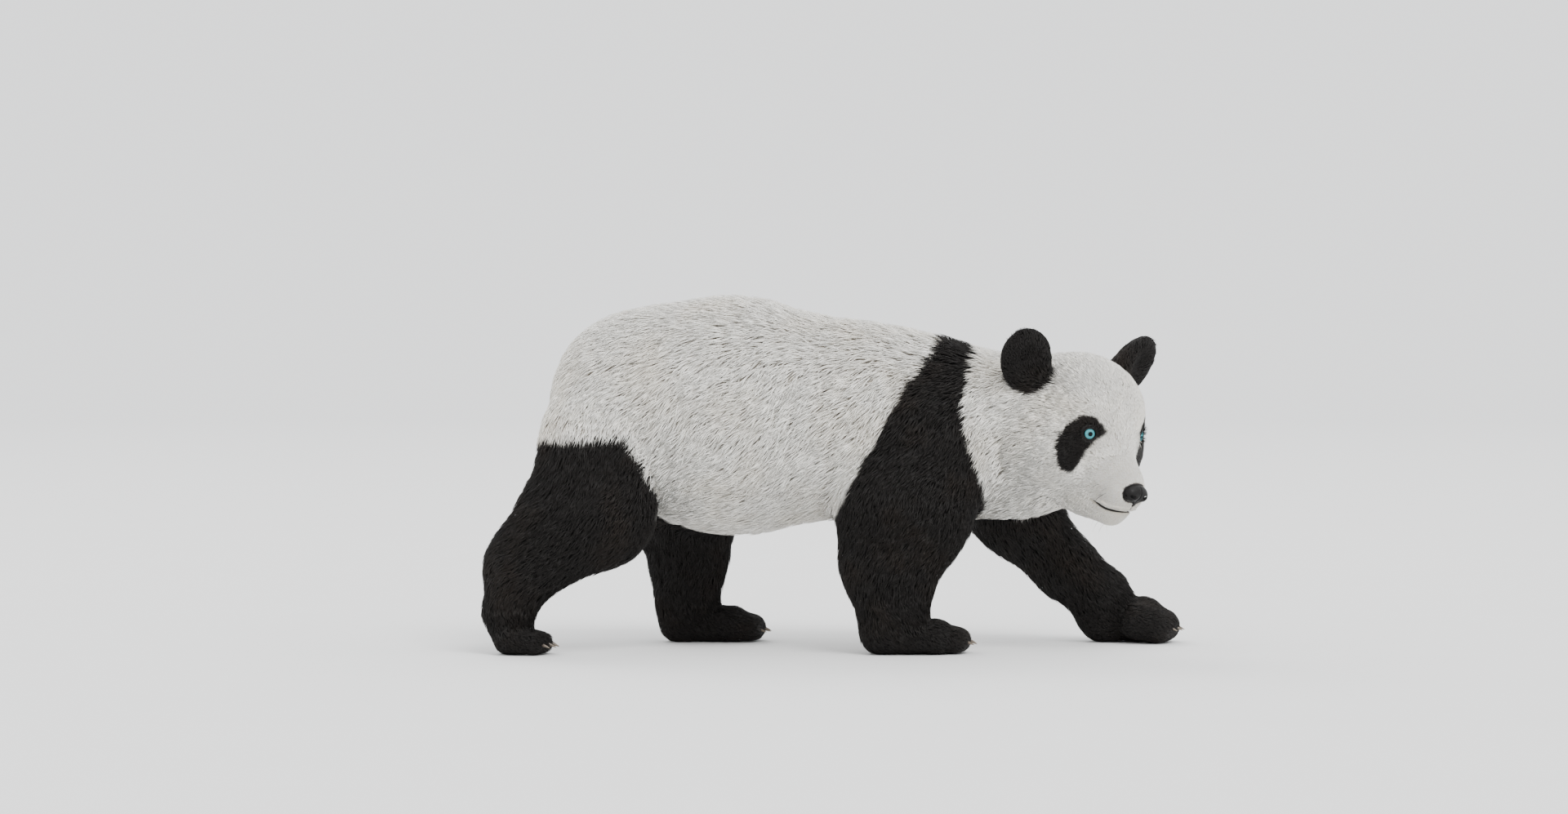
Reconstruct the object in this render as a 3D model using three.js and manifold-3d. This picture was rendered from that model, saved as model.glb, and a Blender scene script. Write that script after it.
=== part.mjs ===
// A life-size giant panda, walking, with its head turned to its right.
// Millimetres, +X ahead, +Y to the animal's left, +Z up. It stands on the plane z = 0.
//
// The whole animal, out to the tips of its coat, is one smooth field: rounded masses that
// flow into each other. Each named piece is the surface of that field inside a cutter of its
// own, so the pieces share thin seams and together give the true outline.

import * as THREE from "three";
import { mergeVertices } from "three/addons/utils/BufferGeometryUtils.js";
import Module from "manifold-3d";

// ---------- driving dimensions ----------

const GAP = 0.35; // seam between neighbouring pieces
const FOOT_LINE = 165; // each foot's distance from the middle plane
const FAR = 1200; // reach of a cutter that is open on one side

const HEAD = { at: [541, -72, 495], yaw: 50, pitch: 26, roll: 3 }; // degrees
const EYE = { at: [99.5, 76, 26], radius: 14.5 }; // in the head's frame: ahead, aside, up
const EAR = { at: [-64, 154, 104], width: 62, height: 77, depth: 30, splay: 38, turn: 8 };
const NOSE = { at: [231, 0, -55], size: [27, 33, 22] };

// Trunk masses: centre, then half-sizes along X, Y and Z, then tilt in degrees about Y.
const TRUNK = {
  rump: [[-416, 0, 540], [206, 198, 208], 0],
  barrel: [[-215, 0, 513], [318, 240, 266], 3],
  ribs: [[40, 0, 505], [240, 205, 222], 6],
  withers: [[190, 0, 560], [160, 140, 128], 12],
  brisket: [[225, 0, 395], [140, 150, 118], -8],
};

const NECK = { from: [230, 0, 497], to: [428, -38, 492], girth: [176, 158], width: 0.98 };
const THROAT = [[402, -25, 402], [180, 108, 118]]; // centre, then half-sizes
const TAIL = { from: [-574, 0, 562], to: [-604, 0, 424], girth: [33, 28], width: 1.5 };

// Legs: joints from the top down, with the radius of the leg at each, coat included.
// width is how much broader the leg is across than fore and aft.
const LEGS = {
  fore_right: {
    side: -1,
    width: 0.82,
    joints: [[232, 112, 470], [154, 132, 302], [124, 158, 195], [128, 164, 92]],
    girth: [128, 147, 107, 78],
    paw: { heel: 62, length: 234, width: 122, height: 80, toeIn: 9 },
  },
  fore_left: {
    side: 1,
    width: 0.88,
    joints: [[262, 108, 450], [423, 140, 284], [528, 158, 169], [608, 163, 100]],
    girth: [128, 95, 71, 68],
    paw: { heel: 558, length: 218, width: 122, height: 106, toeIn: 7 },
  },
  hind_right: {
    side: -1,
    width: 0.86,
    joints: [[-505, 108, 455], [-502, 140, 301], [-670, 158, 188], [-700, FOOT_LINE, 92]],
    girth: [136, 115, 82, 56],
    paw: { heel: -734, length: 124, width: 112, height: 70, toeIn: -4 },
    ham: { from: [-514, 112, 430], to: [-654, 150, 250], girth: [110, 64] },
  },
  hind_left: {
    side: 1,
    width: 0.86,
    joints: [[-490, 108, 470], [-328, 140, 300], [-320, 160, 190], [-324, FOOT_LINE, 100]],
    girth: [142, 119, 88, 72],
    paw: { heel: -386, length: 234, width: 114, height: 86, toeIn: -5 },
  },
};

const TOES = 5;
const CLAW = { length: 34, radius: 5.2, drop: 9, sides: 5, rings: 3 };

// How softly neighbouring masses flow into each other.
const BLEND = { trunk: 60, neck: 60, legToTrunk: 46, leg: 34, toe: 9, head: 30, headToNeck: 38, tail: 14 };

// Grid cells that each kind of piece is surfaced with, along X, Y and Z.
const CELL = {
  trunk: [100, 72, 72],
  neck: [64, 64, 62],
  leg: [52, 46, 61],
  paw: [35, 27, 27],
  head: [38, 38, 38],
  ear: [23, 23, 23],
};

const COLOUR = { white: 0xe6dfd0, black: 0x16130f, eye: 0x2c5f66, nose: 0x0d0b0a, claw: 0x6b6154 };

// ---------- masses: functions of a point, about its distance from a surface, negative inside ----------

const radians = THREE.MathUtils.degToRad;
const v3 = (p) => new THREE.Vector3(...p);

function egg([cx, cy, cz], [rx, ry, rz], tilt = 0) {
  const c = Math.cos(radians(tilt));
  const s = Math.sin(radians(tilt));
  return (x, y, z) => {
    const dx = x - cx;
    const dz = z - cz;
    const u = (dx * c - dz * s) / rx;
    const v = (y - cy) / ry;
    const w = (dx * s + dz * c) / rz;
    const reach = Math.hypot(u, v, w);
    const slope = Math.hypot(u / rx, v / ry, w / rz);
    return slope < 1e-9 ? -Math.min(rx, ry, rz) : (reach * (reach - 1)) / slope;
  };
}

function limb([ax, ay, az], ra, [bx, by, bz], rb, width = 1) {
  const ex = bx - ax;
  const ey = by - ay;
  const ez = bz - az;
  const length2 = ex * ex + ey * ey + ez * ez;
  return (x, y, z) => {
    const t = THREE.MathUtils.clamp(((x - ax) * ex + (y - ay) * ey + (z - az) * ez) / length2, 0, 1);
    const dx = x - ax - ex * t;
    const dy = (y - ay - ey * t) / width;
    const dz = z - az - ez * t;
    return Math.hypot(dx, dy, dz) - (ra + (rb - ra) * t);
  };
}

const softMin = (a, b, k) => {
  const h = Math.max(k - Math.abs(a - b), 0) / k;
  return Math.min(a, b) - (h * h * k) / 4;
};

const flow = (k, masses) => (x, y, z) => {
  let d = masses[0](x, y, z);
  for (let i = 1; i < masses.length; i++) d = softMin(d, masses[i](x, y, z), k);
  return d;
};

// ---------- frames: the head, and each ear on it ----------

function frameOf(at, ahead, aside, up) {
  const toWorld = new THREE.Matrix4().makeBasis(ahead, aside, up).setPosition(v3(at));
  const m = toWorld.clone().invert().elements;
  const placed = (mass) => (x, y, z) =>
    mass(
      m[0] * x + m[4] * y + m[8] * z + m[12],
      m[1] * x + m[5] * y + m[9] * z + m[13],
      m[2] * x + m[6] * y + m[10] * z + m[14],
    );
  return { toWorld, placed, point: (p) => v3(p).applyMatrix4(toWorld) };
}

function headFrame() {
  const turn = new THREE.Matrix4()
    .makeRotationZ(radians(-HEAD.yaw))
    .multiply(new THREE.Matrix4().makeRotationY(radians(HEAD.pitch)))
    .multiply(new THREE.Matrix4().makeRotationX(radians(-HEAD.roll)));
  const axis = (x, y, z) => new THREE.Vector3(x, y, z).transformDirection(turn);
  return frameOf(HEAD.at, axis(1, 0, 0), axis(0, 1, 0), axis(0, 0, 1));
}

// An ear's frame inside the head's: X out of its cup, Y across it, Z up to its tip.
function earFrame(side) {
  const up = new THREE.Vector3(-0.1, side * Math.sin(radians(EAR.splay)), Math.cos(radians(EAR.splay))).normalize();
  const out = new THREE.Vector3(Math.cos(radians(EAR.turn)), side * Math.sin(radians(EAR.turn)), 0);
  const across = new THREE.Vector3().crossVectors(up, out).normalize();
  const ahead = new THREE.Vector3().crossVectors(across, up);
  return frameOf([EAR.at[0], side * EAR.at[1], EAR.at[2]], ahead, across, up);
}

const head = headFrame();

// ---------- the animal ----------

function skull() {
  const pair = (make) => [make(1), make(-1)];
  return flow(BLEND.head, [
    egg([-8, 0, 30], [140, 140, 126]),
    egg([-30, 0, -20], [130, 150, 120]),
    ...pair((s) => egg([6, s * 84, -46], [106, 84, 96])),
    egg([62, 0, 6], [70, 98, 68]),
    egg([48, 0, -92], [106, 92, 80]),
    limb([70, 0, 0], 58, [174, 0, -39], 33, 1.05),
    limb([90, 0, -54], 64, [185, 0, -71], 44, 1.16),
    limb([100, 0, -126], 44, [174, 0, -123], 32, 1.15),
  ]);
}

function ear(side) {
  const frame = earFrame(side);
  const shell = egg([0, 0, 18], [EAR.depth, EAR.width, EAR.height]);
  const root = limb([-2, 0, -34], 42, [0, 0, 0], 36, 1.3);
  const cup = egg([EAR.depth + 6, 0, 28], [22, 40, 44]);
  const solid = flow(14, [shell, root]);
  return frame.placed((x, y, z) => -softMin(-solid(x, y, z), cup(x, y, z), 10));
}

// Where each toe of a paw starts and ends, how thick it is, and where its claw leaves it.
function toesOf(leg) {
  const { heel, length, width, height, toeIn } = leg.paw;
  const heading = radians(-leg.side * toeIn);
  const toe = (i) => {
    const share = (i - (TOES - 1) / 2) / ((TOES - 1) / 2);
    const reach = length - 15 * share * share;
    const aside = share * (width / 2 - 18);
    const place = (ahead, across, up) => [
      heel + ahead * Math.cos(heading) - across * Math.sin(heading),
      leg.side * FOOT_LINE + ahead * Math.sin(heading) + across * Math.cos(heading),
      up,
    ];
    return {
      root: place(reach - 72, aside * 0.8, height * 0.46),
      tip: place(reach - height * 0.26, aside, height * 0.35 + 1),
      radius: [height * 0.4, height * 0.35],
      claw: place(reach - height * 0.02, aside * 1.03, height * 0.35 + 1),
      ahead: [Math.cos(heading + share * 0.12), Math.sin(heading + share * 0.12)],
    };
  };
  return Array.from({ length: TOES }, (_, i) => toe(i));
}

function legMass(leg) {
  const across = ([x, y, z]) => [x, leg.side * y, z];
  const joints = leg.joints.map(across);
  const bones = joints.slice(1).map((joint, i) =>
    limb(joints[i], leg.girth[i], joint, leg.girth[i + 1], leg.width),
  );
  const { ham } = leg;
  if (ham) bones.push(limb(across(ham.from), ham.girth[0], across(ham.to), ham.girth[1], leg.width));
  const { heel, length, width, height } = leg.paw;
  const y = leg.side * FOOT_LINE;
  const ankle = joints[joints.length - 1];
  const pad = height / 2;
  const sole = limb([heel + pad, y, pad], pad, [heel + length - 72, y, pad - 3], pad, width / height);
  const instep = limb(ankle, leg.girth[3] * 0.9, [heel + pad * 1.2, y, pad], pad);
  const toes = toesOf(leg).map((toe) => limb(toe.root, toe.radius[0], toe.tip, toe.radius[1]));
  const foot = flow(20, [sole, instep]);
  const paw = flow(BLEND.toe, [foot, ...toes]);
  return flow(BLEND.leg, [...bones, paw]);
}

function wholeAnimal() {
  const trunk = flow(BLEND.trunk, Object.values(TRUNK).map((mass) => egg(...mass)));
  const neck = limb(NECK.from, NECK.girth[0], NECK.to, NECK.girth[1], NECK.width);
  const legs = Object.values(LEGS).map(legMass);
  const torso = flow(BLEND.neck, [trunk, neck, egg(...THROAT)]);
  const body = flow(BLEND.legToTrunk, [torso, ...legs]);
  const tail = limb(TAIL.from, TAIL.girth[0], TAIL.to, TAIL.girth[1], TAIL.width);
  const ears = [1, -1].map((side) => head.placed(ear(side)));
  const headed = flow(BLEND.headToNeck, [body, head.placed(skull())]);
  return flow(BLEND.tail, [headed, tail, ...ears]);
}

const animal = wholeAnimal();

// ---------- surfacing the field ----------

// Moves a point onto the field's zero surface, along the field's slope.
function settle(field, p, mostMove) {
  const start = p.clone();
  const e = 0.5;
  for (let step = 0; step < 4; step++) {
    const d = field(p.x, p.y, p.z);
    const slope = new THREE.Vector3(
      field(p.x + e, p.y, p.z) - field(p.x - e, p.y, p.z),
      field(p.x, p.y + e, p.z) - field(p.x, p.y - e, p.z),
      field(p.x, p.y, p.z + e) - field(p.x, p.y, p.z - e),
    ).divideScalar(2 * e);
    const steep = slope.lengthSq();
    if (steep < 1e-6) break;
    p.addScaledVector(slope, -d / steep);
  }
  if (p.distanceTo(start) > mostMove) p.copy(start);
  return p;
}

// A closed surface of the field inside a box: one vertex in each grid cell that the surface
// crosses, joined by a quad around each crossed edge. The box's rim counts as outside.
function surface(field, low, high, cell) {
  const size = [0, 1, 2].map((a) => Math.ceil((high[a] - low[a]) / cell[a]) + 1);
  const step = [1, size[0], size[0] * size[1]];
  const values = new Float64Array(size[0] * size[1] * size[2]);
  const onRim = (i, a) => i === 0 || i === size[a] - 1;
  for (let k = 0; k < size[2]; k++)
    for (let j = 0; j < size[1]; j++)
      for (let i = 0; i < size[0]; i++) {
        const rim = onRim(i, 0) || onRim(j, 1) || onRim(k, 2);
        const at = i + j * step[1] + k * step[2];
        values[at] = rim
          ? cell[0]
          : field(low[0] + i * cell[0], low[1] + j * cell[1], low[2] + k * cell[2]);
      }

  const corners = [0, 1, 2, 3, 4, 5, 6, 7].map((c) => [c & 1, (c >> 1) & 1, c >> 2]);
  const edges = corners.flatMap((c, i) =>
    [1, 2, 4].filter((bit) => !(i & bit)).map((bit) => [i, i | bit]),
  );
  const vertices = [];
  const vertexOf = new Map();
  for (let k = 0; k < size[2] - 1; k++)
    for (let j = 0; j < size[1] - 1; j++)
      for (let i = 0; i < size[0] - 1; i++) {
        const at = i + j * step[1] + k * step[2];
        const found = corners.map((c) => values[at + c[0] + c[1] * step[1] + c[2] * step[2]]);
        const crossed = edges.filter(([a, b]) => found[a] < 0 !== found[b] < 0);
        if (!crossed.length) continue;
        const middle = new THREE.Vector3();
        for (const [a, b] of crossed) {
          const t = found[a] / (found[a] - found[b]);
          middle.add(v3(corners[a]).lerp(v3(corners[b]), t));
        }
        middle.divideScalar(crossed.length);
        const p = new THREE.Vector3(
          low[0] + (i + middle.x) * cell[0],
          low[1] + (j + middle.y) * cell[1],
          low[2] + (k + middle.z) * cell[2],
        );
        const inner = [i, j, k].every((n, a) => n > 0 && n < size[a] - 2);
        vertexOf.set(at, vertices.length);
        vertices.push(inner ? settle(field, p, Math.min(...cell)) : p);
      }

  const triangles = [];
  for (let k = 0; k < size[2] - 1; k++)
    for (let j = 0; j < size[1] - 1; j++)
      for (let i = 0; i < size[0] - 1; i++) {
        const at = i + j * step[1] + k * step[2];
        const inside = values[at] < 0;
        for (let a = 0; a < 3; a++) {
          const [b, c] = [(a + 1) % 3, (a + 2) % 3];
          const onEdge = [i, j, k][b] === 0 || [i, j, k][c] === 0;
          if (onEdge || inside === values[at + step[a]] < 0) continue;
          const ring = [at - step[b] - step[c], at - step[c], at, at - step[b]].map((n) => vertexOf.get(n));
          if (!inside) ring.reverse();
          triangles.push([ring[0], ring[1], ring[2]], [ring[0], ring[2], ring[3]]);
        }
      }
  return solidFrom(vertices.flatMap((p) => p.toArray()), triangles.flat());
}

// ---------- solids ----------

const wasm = await Module();
wasm.setup();

const solidFrom = (positions, triangles) =>
  new wasm.Manifold(
    new wasm.Mesh({
      numProp: 3,
      vertProperties: new Float32Array(positions),
      triVerts: new Uint32Array(triangles),
    }),
  );

function solidOf(geometry) {
  geometry.deleteAttribute("normal");
  geometry.deleteAttribute("uv");
  const merged = mergeVertices(geometry, 1e-4);
  return solidFrom(merged.attributes.position.array, merged.index.array);
}

function geometryOf(solid) {
  const mesh = solid.getMesh();
  const geometry = new THREE.BufferGeometry();
  geometry.setAttribute("position", new THREE.BufferAttribute(mesh.vertProperties, 3));
  geometry.setIndex(new THREE.BufferAttribute(mesh.triVerts, 1));
  geometry.computeVertexNormals();
  partTouching(geometry.attributes);
  return geometry;
}

// Where two sheets of a surface touch at a point, draws each a little way in along its normal.
function partTouching({ position, normal }) {
  const found = new Map();
  for (let i = 0; i < position.count; i++) {
    const key = [position.getX(i), position.getY(i), position.getZ(i)].map((n) => n.toFixed(3)).join();
    found.set(key, [...(found.get(key) ?? []), i]);
  }
  for (const sheets of found.values()) {
    if (sheets.length < 2) continue;
    for (const i of sheets)
      for (let a = 0; a < 3; a++)
        position.setComponent(i, a, position.getComponent(i, a) - 0.05 * normal.getComponent(i, a));
  }
}

function boxOf(solid) {
  const box = new THREE.Box3();
  const { vertProperties } = solid.getMesh();
  for (let i = 0; i < vertProperties.length; i += 3) box.expandByPoint(new THREE.Vector3().fromArray(vertProperties, i));
  return box;
}

const largest = (solid) =>
  solid.decompose().reduce((best, body) => (body.volume() > best.volume() ? body : best));

// ---------- cutters: each takes how much to grow, so that a neighbour leaves the seam ----------

const ball = (at, radii, matrix = new THREE.Matrix4()) => (grow) => {
  const geometry = new THREE.SphereGeometry(1, 18, 11)
    .scale(radii[0] + grow, radii[1] + grow, radii[2] + grow)
    .translate(...at)
    .applyMatrix4(matrix);
  return solidOf(geometry);
};

// Moves each corner of an outline outwards, so that its edges move by the same amount.
function grown(outline, amount) {
  const corner = (i) => new THREE.Vector2(...outline[(i + outline.length) % outline.length]);
  const normal = (a, b) => new THREE.Vector2(b.y - a.y, a.x - b.x).normalize();
  return outline.map((_, i) => {
    const before = normal(corner(i - 1), corner(i));
    const after = normal(corner(i), corner(i + 1));
    const shift = before.clone().add(after).divideScalar(1 + before.dot(after));
    return corner(i).addScaledVector(shift, amount);
  });
}

// A prism across the animal, from a side outline that runs counter-clockwise in X and Z.
const prism = (outline, [yLow, yHigh]) => (grow) => {
  const shape = new THREE.Shape(grown(outline, grow));
  const geometry = new THREE.ExtrudeGeometry(shape, { depth: yHigh - yLow + 2 * grow, bevelEnabled: false });
  geometry.rotateX(Math.PI / 2).translate(0, yHigh + grow, 0);
  return solidOf(geometry);
};

// The outline that lies past a line through a point, seen from the side.
function beyond([x, z], headingDeg) {
  const heading = radians(headingDeg);
  const d = [Math.cos(heading), Math.sin(heading)];
  const at = (along, across) => [x + d[0] * along - d[1] * across, z + d[1] * along + d[0] * across];
  return [at(0, -FAR), at(FAR, -FAR), at(FAR, FAR), at(0, FAR)];
}

const everywhere = ball([0, 0, 0], [FAR * 2, FAR * 2, FAR * 2]);
const aboveGround = prism([[-FAR, 0], [FAR, 0], [FAR, FAR], [-FAR, FAR]], [-FAR, FAR])(0);

// Side outlines of the legs and of the coloured bands, counter-clockwise in X and Z, and how
// far across the animal each reaches.
const RIGHT = [-420, -40];
const LEFT = [40, 420];
const OUTLINE = {
  fore_right: [[-25, -30], [390, -30], [390, 150], [345, 300], [300, 372], [52, 372], [-34, 300], [-40, 150]],
  fore_left: [[520, -30], [830, -30], [830, 130], [660, 260], [560, 372], [240, 372], [262, 240], [400, 105]],
  hind_right: [[-820, -30], [-560, -30], [-556, 60], [-404, 190], [-384, 320], [-440, 466], [-820, 466]],
  hind_left: [[-430, -30], [-90, -30], [-90, 120], [-160, 240], [-215, 330], [-440, 466], [-720, 466], [-640, 330], [-440, 190]],
  neck: [[341, 200], [900, 200], [900, 800], [340, 800], [322, 665], [283, 545], [292, 450], [337, 345]],
  shoulders: [[10, 180], [420, 180], [420, 800], [262, 800], [242, 690], [176, 603], [134, 540], [67, 410], [8, 301]],
};

// Where each leg is parted at its two lower joints: X and Z of the cut, and the leg's heading there.
const JOINT_CUTS = {
  fore_right: [[150, 262, -95], [128, 98, -84]],
  fore_left: [[470, 246, -46], [598, 112, -58]],
  hind_right: [[-560, 268, -116], [-702, 112, -92]],
  hind_left: [[-328, 282, -88], [-322, 108, -80]],
};

// ---------- claws: tapered hooks that sit in pockets of their toes ----------

function claw(toe, grow) {
  const { length, radius, drop, sides, rings } = CLAW;
  const [ax, ay] = toe.ahead;
  const positions = [];
  for (let r = 0; r <= rings; r++) {
    const t = r / rings;
    const along = -grow + t * (length + 2 * grow) - length * 0.35;
    const centre = [toe.claw[0] + ax * along, toe.claw[1] + ay * along, toe.claw[2] - drop * t * t];
    const thick = radius * (1 - 0.78 * t * t) + grow;
    for (let i = 0; i < sides; i++) {
      const turn = (i / sides) * 2 * Math.PI;
      const [aside, up] = [0.72 * thick * Math.cos(turn), thick * Math.sin(turn)];
      positions.push(centre[0] - ay * aside, centre[1] + ax * aside, centre[2] + up);
    }
  }
  const triangles = [];
  for (let r = 0; r < rings; r++)
    for (let i = 0; i < sides; i++) {
      const [a, b] = [r * sides + i, r * sides + ((i + 1) % sides)];
      triangles.push(a, b, b + sides, a, b + sides, a + sides);
    }
  const last = rings * sides;
  for (let i = 1; i < sides - 1; i++) triangles.push(0, i + 1, i, last, last + i, last + i + 1);
  return solidFrom(positions, triangles);
}

// ---------- pieces: each keeps what its cutters hold, less what earlier pieces took ----------

const panda = new THREE.Group();
const taken = [];

function add(name, solid, colour, roughness = 0.9) {
  const material = new THREE.MeshStandardMaterial({ color: COLOUR[colour], roughness, metalness: 0 });
  const mesh = new THREE.Mesh(geometryOf(solid), material);
  mesh.name = name;
  panda.add(mesh);
}

// Surfaces the animal round what the keepers share, and cuts it with them.
function carve(cell, keepers, without = []) {
  const kept = keepers.map((cutter) => cutter(0)).reduce((a, b) => a.intersect(b));
  const margin = v3(cell).multiplyScalar(2.5);
  const reach = new THREE.Box3(new THREE.Vector3(-790, -270, -12), new THREE.Vector3(800, 270, 810));
  const box = boxOf(kept).intersect(reach);
  box.min.sub(margin);
  box.max.add(margin);
  let solid = surface(animal, box.min.toArray(), box.max.toArray(), cell).intersect(kept);
  for (const cutter of [...taken, ...without]) solid = solid.subtract(cutter);
  return largest(solid.intersect(aboveGround));
}

function piece(name, colour, cell, keepers, without = []) {
  add(name, carve(cell, keepers, without), colour);
}

for (const [side, name] of [[1, "left"], [-1, "right"]]) {
  const at = [EYE.at[0], side * EYE.at[1], EYE.at[2]];
  const eye = (grow) => solidOf(new THREE.SphereGeometry(EYE.radius + grow, 12, 7).translate(...at).applyMatrix4(head.toWorld));
  add(`eye_${name}`, eye(0), "eye", 0.1);
  taken.push(eye(GAP));
}

const nose = ball([NOSE.at[0], 0, NOSE.at[2]], NOSE.size, head.toWorld);
piece("nose", "nose", [13, 13, 13], [nose]);
taken.push(nose(GAP));

for (const [side, name] of [[1, "left"], [-1, "right"]]) {
  const frame = earFrame(side).toWorld.clone().premultiply(head.toWorld);
  const region = ball([0, 0, 46], [66, 88, 70], frame);
  piece(`ear_${name}`, "black", CELL.ear, [region]);
  taken.push(region(GAP));
}

const headRegion = ball([140, 0, 0], [262, 262, 262], head.toWorld);
piece("head", "white", CELL.head, [headRegion]);
taken.push(headRegion(GAP));

for (const [name, leg] of Object.entries(LEGS)) {
  const region = prism(OUTLINE[name], leg.side < 0 ? RIGHT : LEFT);
  const [upper, lower] = JOINT_CUTS[name].map(([x, z, heading]) => prism(beyond([x, z], heading), [-FAR, FAR]));
  const toes = toesOf(leg);
  toes.forEach((toe, i) => add(`claw_${name}_${i + 1}`, claw(toe, 0), "claw", 0.4));
  piece(`paw_${name}`, "black", CELL.paw, [region, lower], toes.map((toe) => claw(toe, GAP)));
  piece(`lower_leg_${name}`, "black", CELL.leg, [region, upper], [lower(GAP)]);
  piece(`upper_leg_${name}`, "black", CELL.leg, [region], [upper(GAP)]);
  taken.push(region(GAP));
}

const tail = ball([-640, 0, 488], [48, 60, 116]);
piece("tail", "white", [24, 26, 30], [tail]);
taken.push(tail(GAP));

const neck = prism(OUTLINE.neck, [-FAR, FAR]);
piece("neck", "white", CELL.neck, [neck]);
taken.push(neck(GAP));

const shoulders = prism(OUTLINE.shoulders, [-FAR, FAR]);
piece("shoulders", "black", CELL.neck, [shoulders]);
taken.push(shoulders(GAP));

piece("trunk", "white", CELL.trunk, [everywhere]);

// The origin is on the ground, below the middle of the animal's box.
const bounds = new THREE.Box3().setFromObject(panda);
const middle = bounds.getCenter(new THREE.Vector3());
for (const mesh of panda.children) mesh.position.set(-middle.x, -middle.y, 0);

export default panda;
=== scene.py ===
"""A giant panda, life size and walking: skin, coat, eyes, nose, claws and whiskers.

The animal out to the tips of its coat is one smooth field of rounded masses, the same as the
solids'. The skin is the surface that lies inside the field by the depth of the coat, and the coat
is tufts of fur rooted in the skin. The field is in millimetres, with +X ahead, +Y to the animal's
left and +Z up, and the meshes made from it are in metres.
"""

from copy import copy
from functools import reduce

import bmesh
import bpy
import numpy as np
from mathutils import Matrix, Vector


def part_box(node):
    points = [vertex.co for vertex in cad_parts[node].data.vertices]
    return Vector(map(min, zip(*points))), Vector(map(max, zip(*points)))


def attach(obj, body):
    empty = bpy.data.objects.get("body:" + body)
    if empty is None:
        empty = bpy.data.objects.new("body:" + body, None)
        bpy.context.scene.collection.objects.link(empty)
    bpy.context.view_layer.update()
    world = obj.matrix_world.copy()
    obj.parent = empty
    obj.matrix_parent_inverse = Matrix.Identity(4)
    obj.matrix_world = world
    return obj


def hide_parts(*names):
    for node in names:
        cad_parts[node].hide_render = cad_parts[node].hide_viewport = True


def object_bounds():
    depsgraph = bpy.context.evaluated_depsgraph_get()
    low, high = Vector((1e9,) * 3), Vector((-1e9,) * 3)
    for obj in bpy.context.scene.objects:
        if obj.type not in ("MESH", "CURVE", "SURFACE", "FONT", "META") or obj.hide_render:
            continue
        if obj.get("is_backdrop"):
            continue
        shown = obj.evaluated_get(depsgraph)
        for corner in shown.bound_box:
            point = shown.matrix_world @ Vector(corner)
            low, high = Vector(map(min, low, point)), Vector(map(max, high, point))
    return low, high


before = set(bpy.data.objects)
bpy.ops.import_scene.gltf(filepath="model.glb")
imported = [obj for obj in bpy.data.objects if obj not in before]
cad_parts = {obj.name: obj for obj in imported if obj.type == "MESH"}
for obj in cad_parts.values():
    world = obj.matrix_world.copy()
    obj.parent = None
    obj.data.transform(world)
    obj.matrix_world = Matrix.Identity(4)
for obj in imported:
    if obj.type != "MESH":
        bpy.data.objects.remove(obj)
cad_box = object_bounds()

MM = 0.001
SEED = 20

# ---------- driving dimensions, in millimetres and degrees ----------

FOOT_LINE = 165
HEAD = dict(at=(541, -72, 495), yaw=50, pitch=26, roll=3)
EYE = dict(at=(99.5, 76, 26), radius=14.5, outward=30, upward=14)
EAR = dict(at=(-64, 154, 104), width=62, height=77, depth=30, lift=18, splay=38, turn=8)
EAR_ROOT = ((-2, 0, -34), 42, (0, 0, 0), 36, 1.3)
EAR_CUP = ((EAR["depth"] + 6, 0, 28), (22, 40, 44))

# The rounded masses of the skull in the head's frame. An egg has a centre and radii, and a limb has
# a start, its radius, an end, its radius, and how wide it is for its height.
SKULL_EGGS = dict(
    crown=((-8, 0, 30), (140, 140, 126)),
    nape=((-30, 0, -20), (130, 150, 120)),
    cheek_left=((6, 84, -46), (106, 84, 96)),
    cheek_right=((6, -84, -46), (106, 84, 96)),
    brow=((62, 0, 6), (70, 98, 68)),
    jaw=((48, 0, -92), (106, 92, 80)),
)
SKULL_LIMBS = dict(
    bridge=((70, 0, 0), 58, (174, 0, -39), 33, 1.05),
    muzzle=((90, 0, -54), 64, (185, 0, -71), 44, 1.16),
    chin=((100, 0, -126), 44, (174, 0, -123), 32, 1.15),
)

TRUNK = dict(
    rump=((-416, 0, 540), (206, 198, 208), 0),
    barrel=((-215, 0, 513), (318, 240, 266), 3),
    ribs=((40, 0, 505), (240, 205, 222), 6),
    withers=((190, 0, 560), (160, 140, 128), 12),
    brisket=((225, 0, 395), (140, 150, 118), -8),
)
NECK = dict(start=(230, 0, 497), end=(428, -38, 492), girth=(176, 158), width=0.98)
THROAT = ((402, -25, 402), (180, 108, 118))
TAIL = dict(start=(-574, 0, 562), end=(-604, 0, 424), girth=(33, 28), width=1.5)

LEGS = dict(
    fore_right=dict(
        side=-1,
        width=0.82,
        joints=((232, 112, 470), (154, 132, 302), (124, 158, 195), (128, 164, 92)),
        girth=(128, 147, 107, 78),
        paw=dict(heel=62, length=234, width=122, height=80, toe_in=9),
    ),
    fore_left=dict(
        side=1,
        width=0.88,
        joints=((262, 108, 450), (423, 140, 284), (528, 158, 169), (608, 163, 100)),
        girth=(128, 95, 71, 68),
        paw=dict(heel=558, length=218, width=122, height=106, toe_in=7),
    ),
    hind_right=dict(
        side=-1,
        width=0.86,
        joints=((-505, 108, 455), (-502, 140, 301), (-670, 158, 188), (-700, FOOT_LINE, 92)),
        girth=(136, 115, 82, 56),
        paw=dict(heel=-734, length=124, width=112, height=70, toe_in=-4),
        ham=dict(start=(-514, 112, 430), end=(-654, 150, 250), girth=(110, 64)),
    ),
    hind_left=dict(
        side=1,
        width=0.86,
        joints=((-490, 108, 470), (-328, 140, 300), (-320, 160, 190), (-324, FOOT_LINE, 100)),
        girth=(142, 119, 88, 72),
        paw=dict(heel=-386, length=234, width=114, height=86, toe_in=-5),
    ),
)

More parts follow.
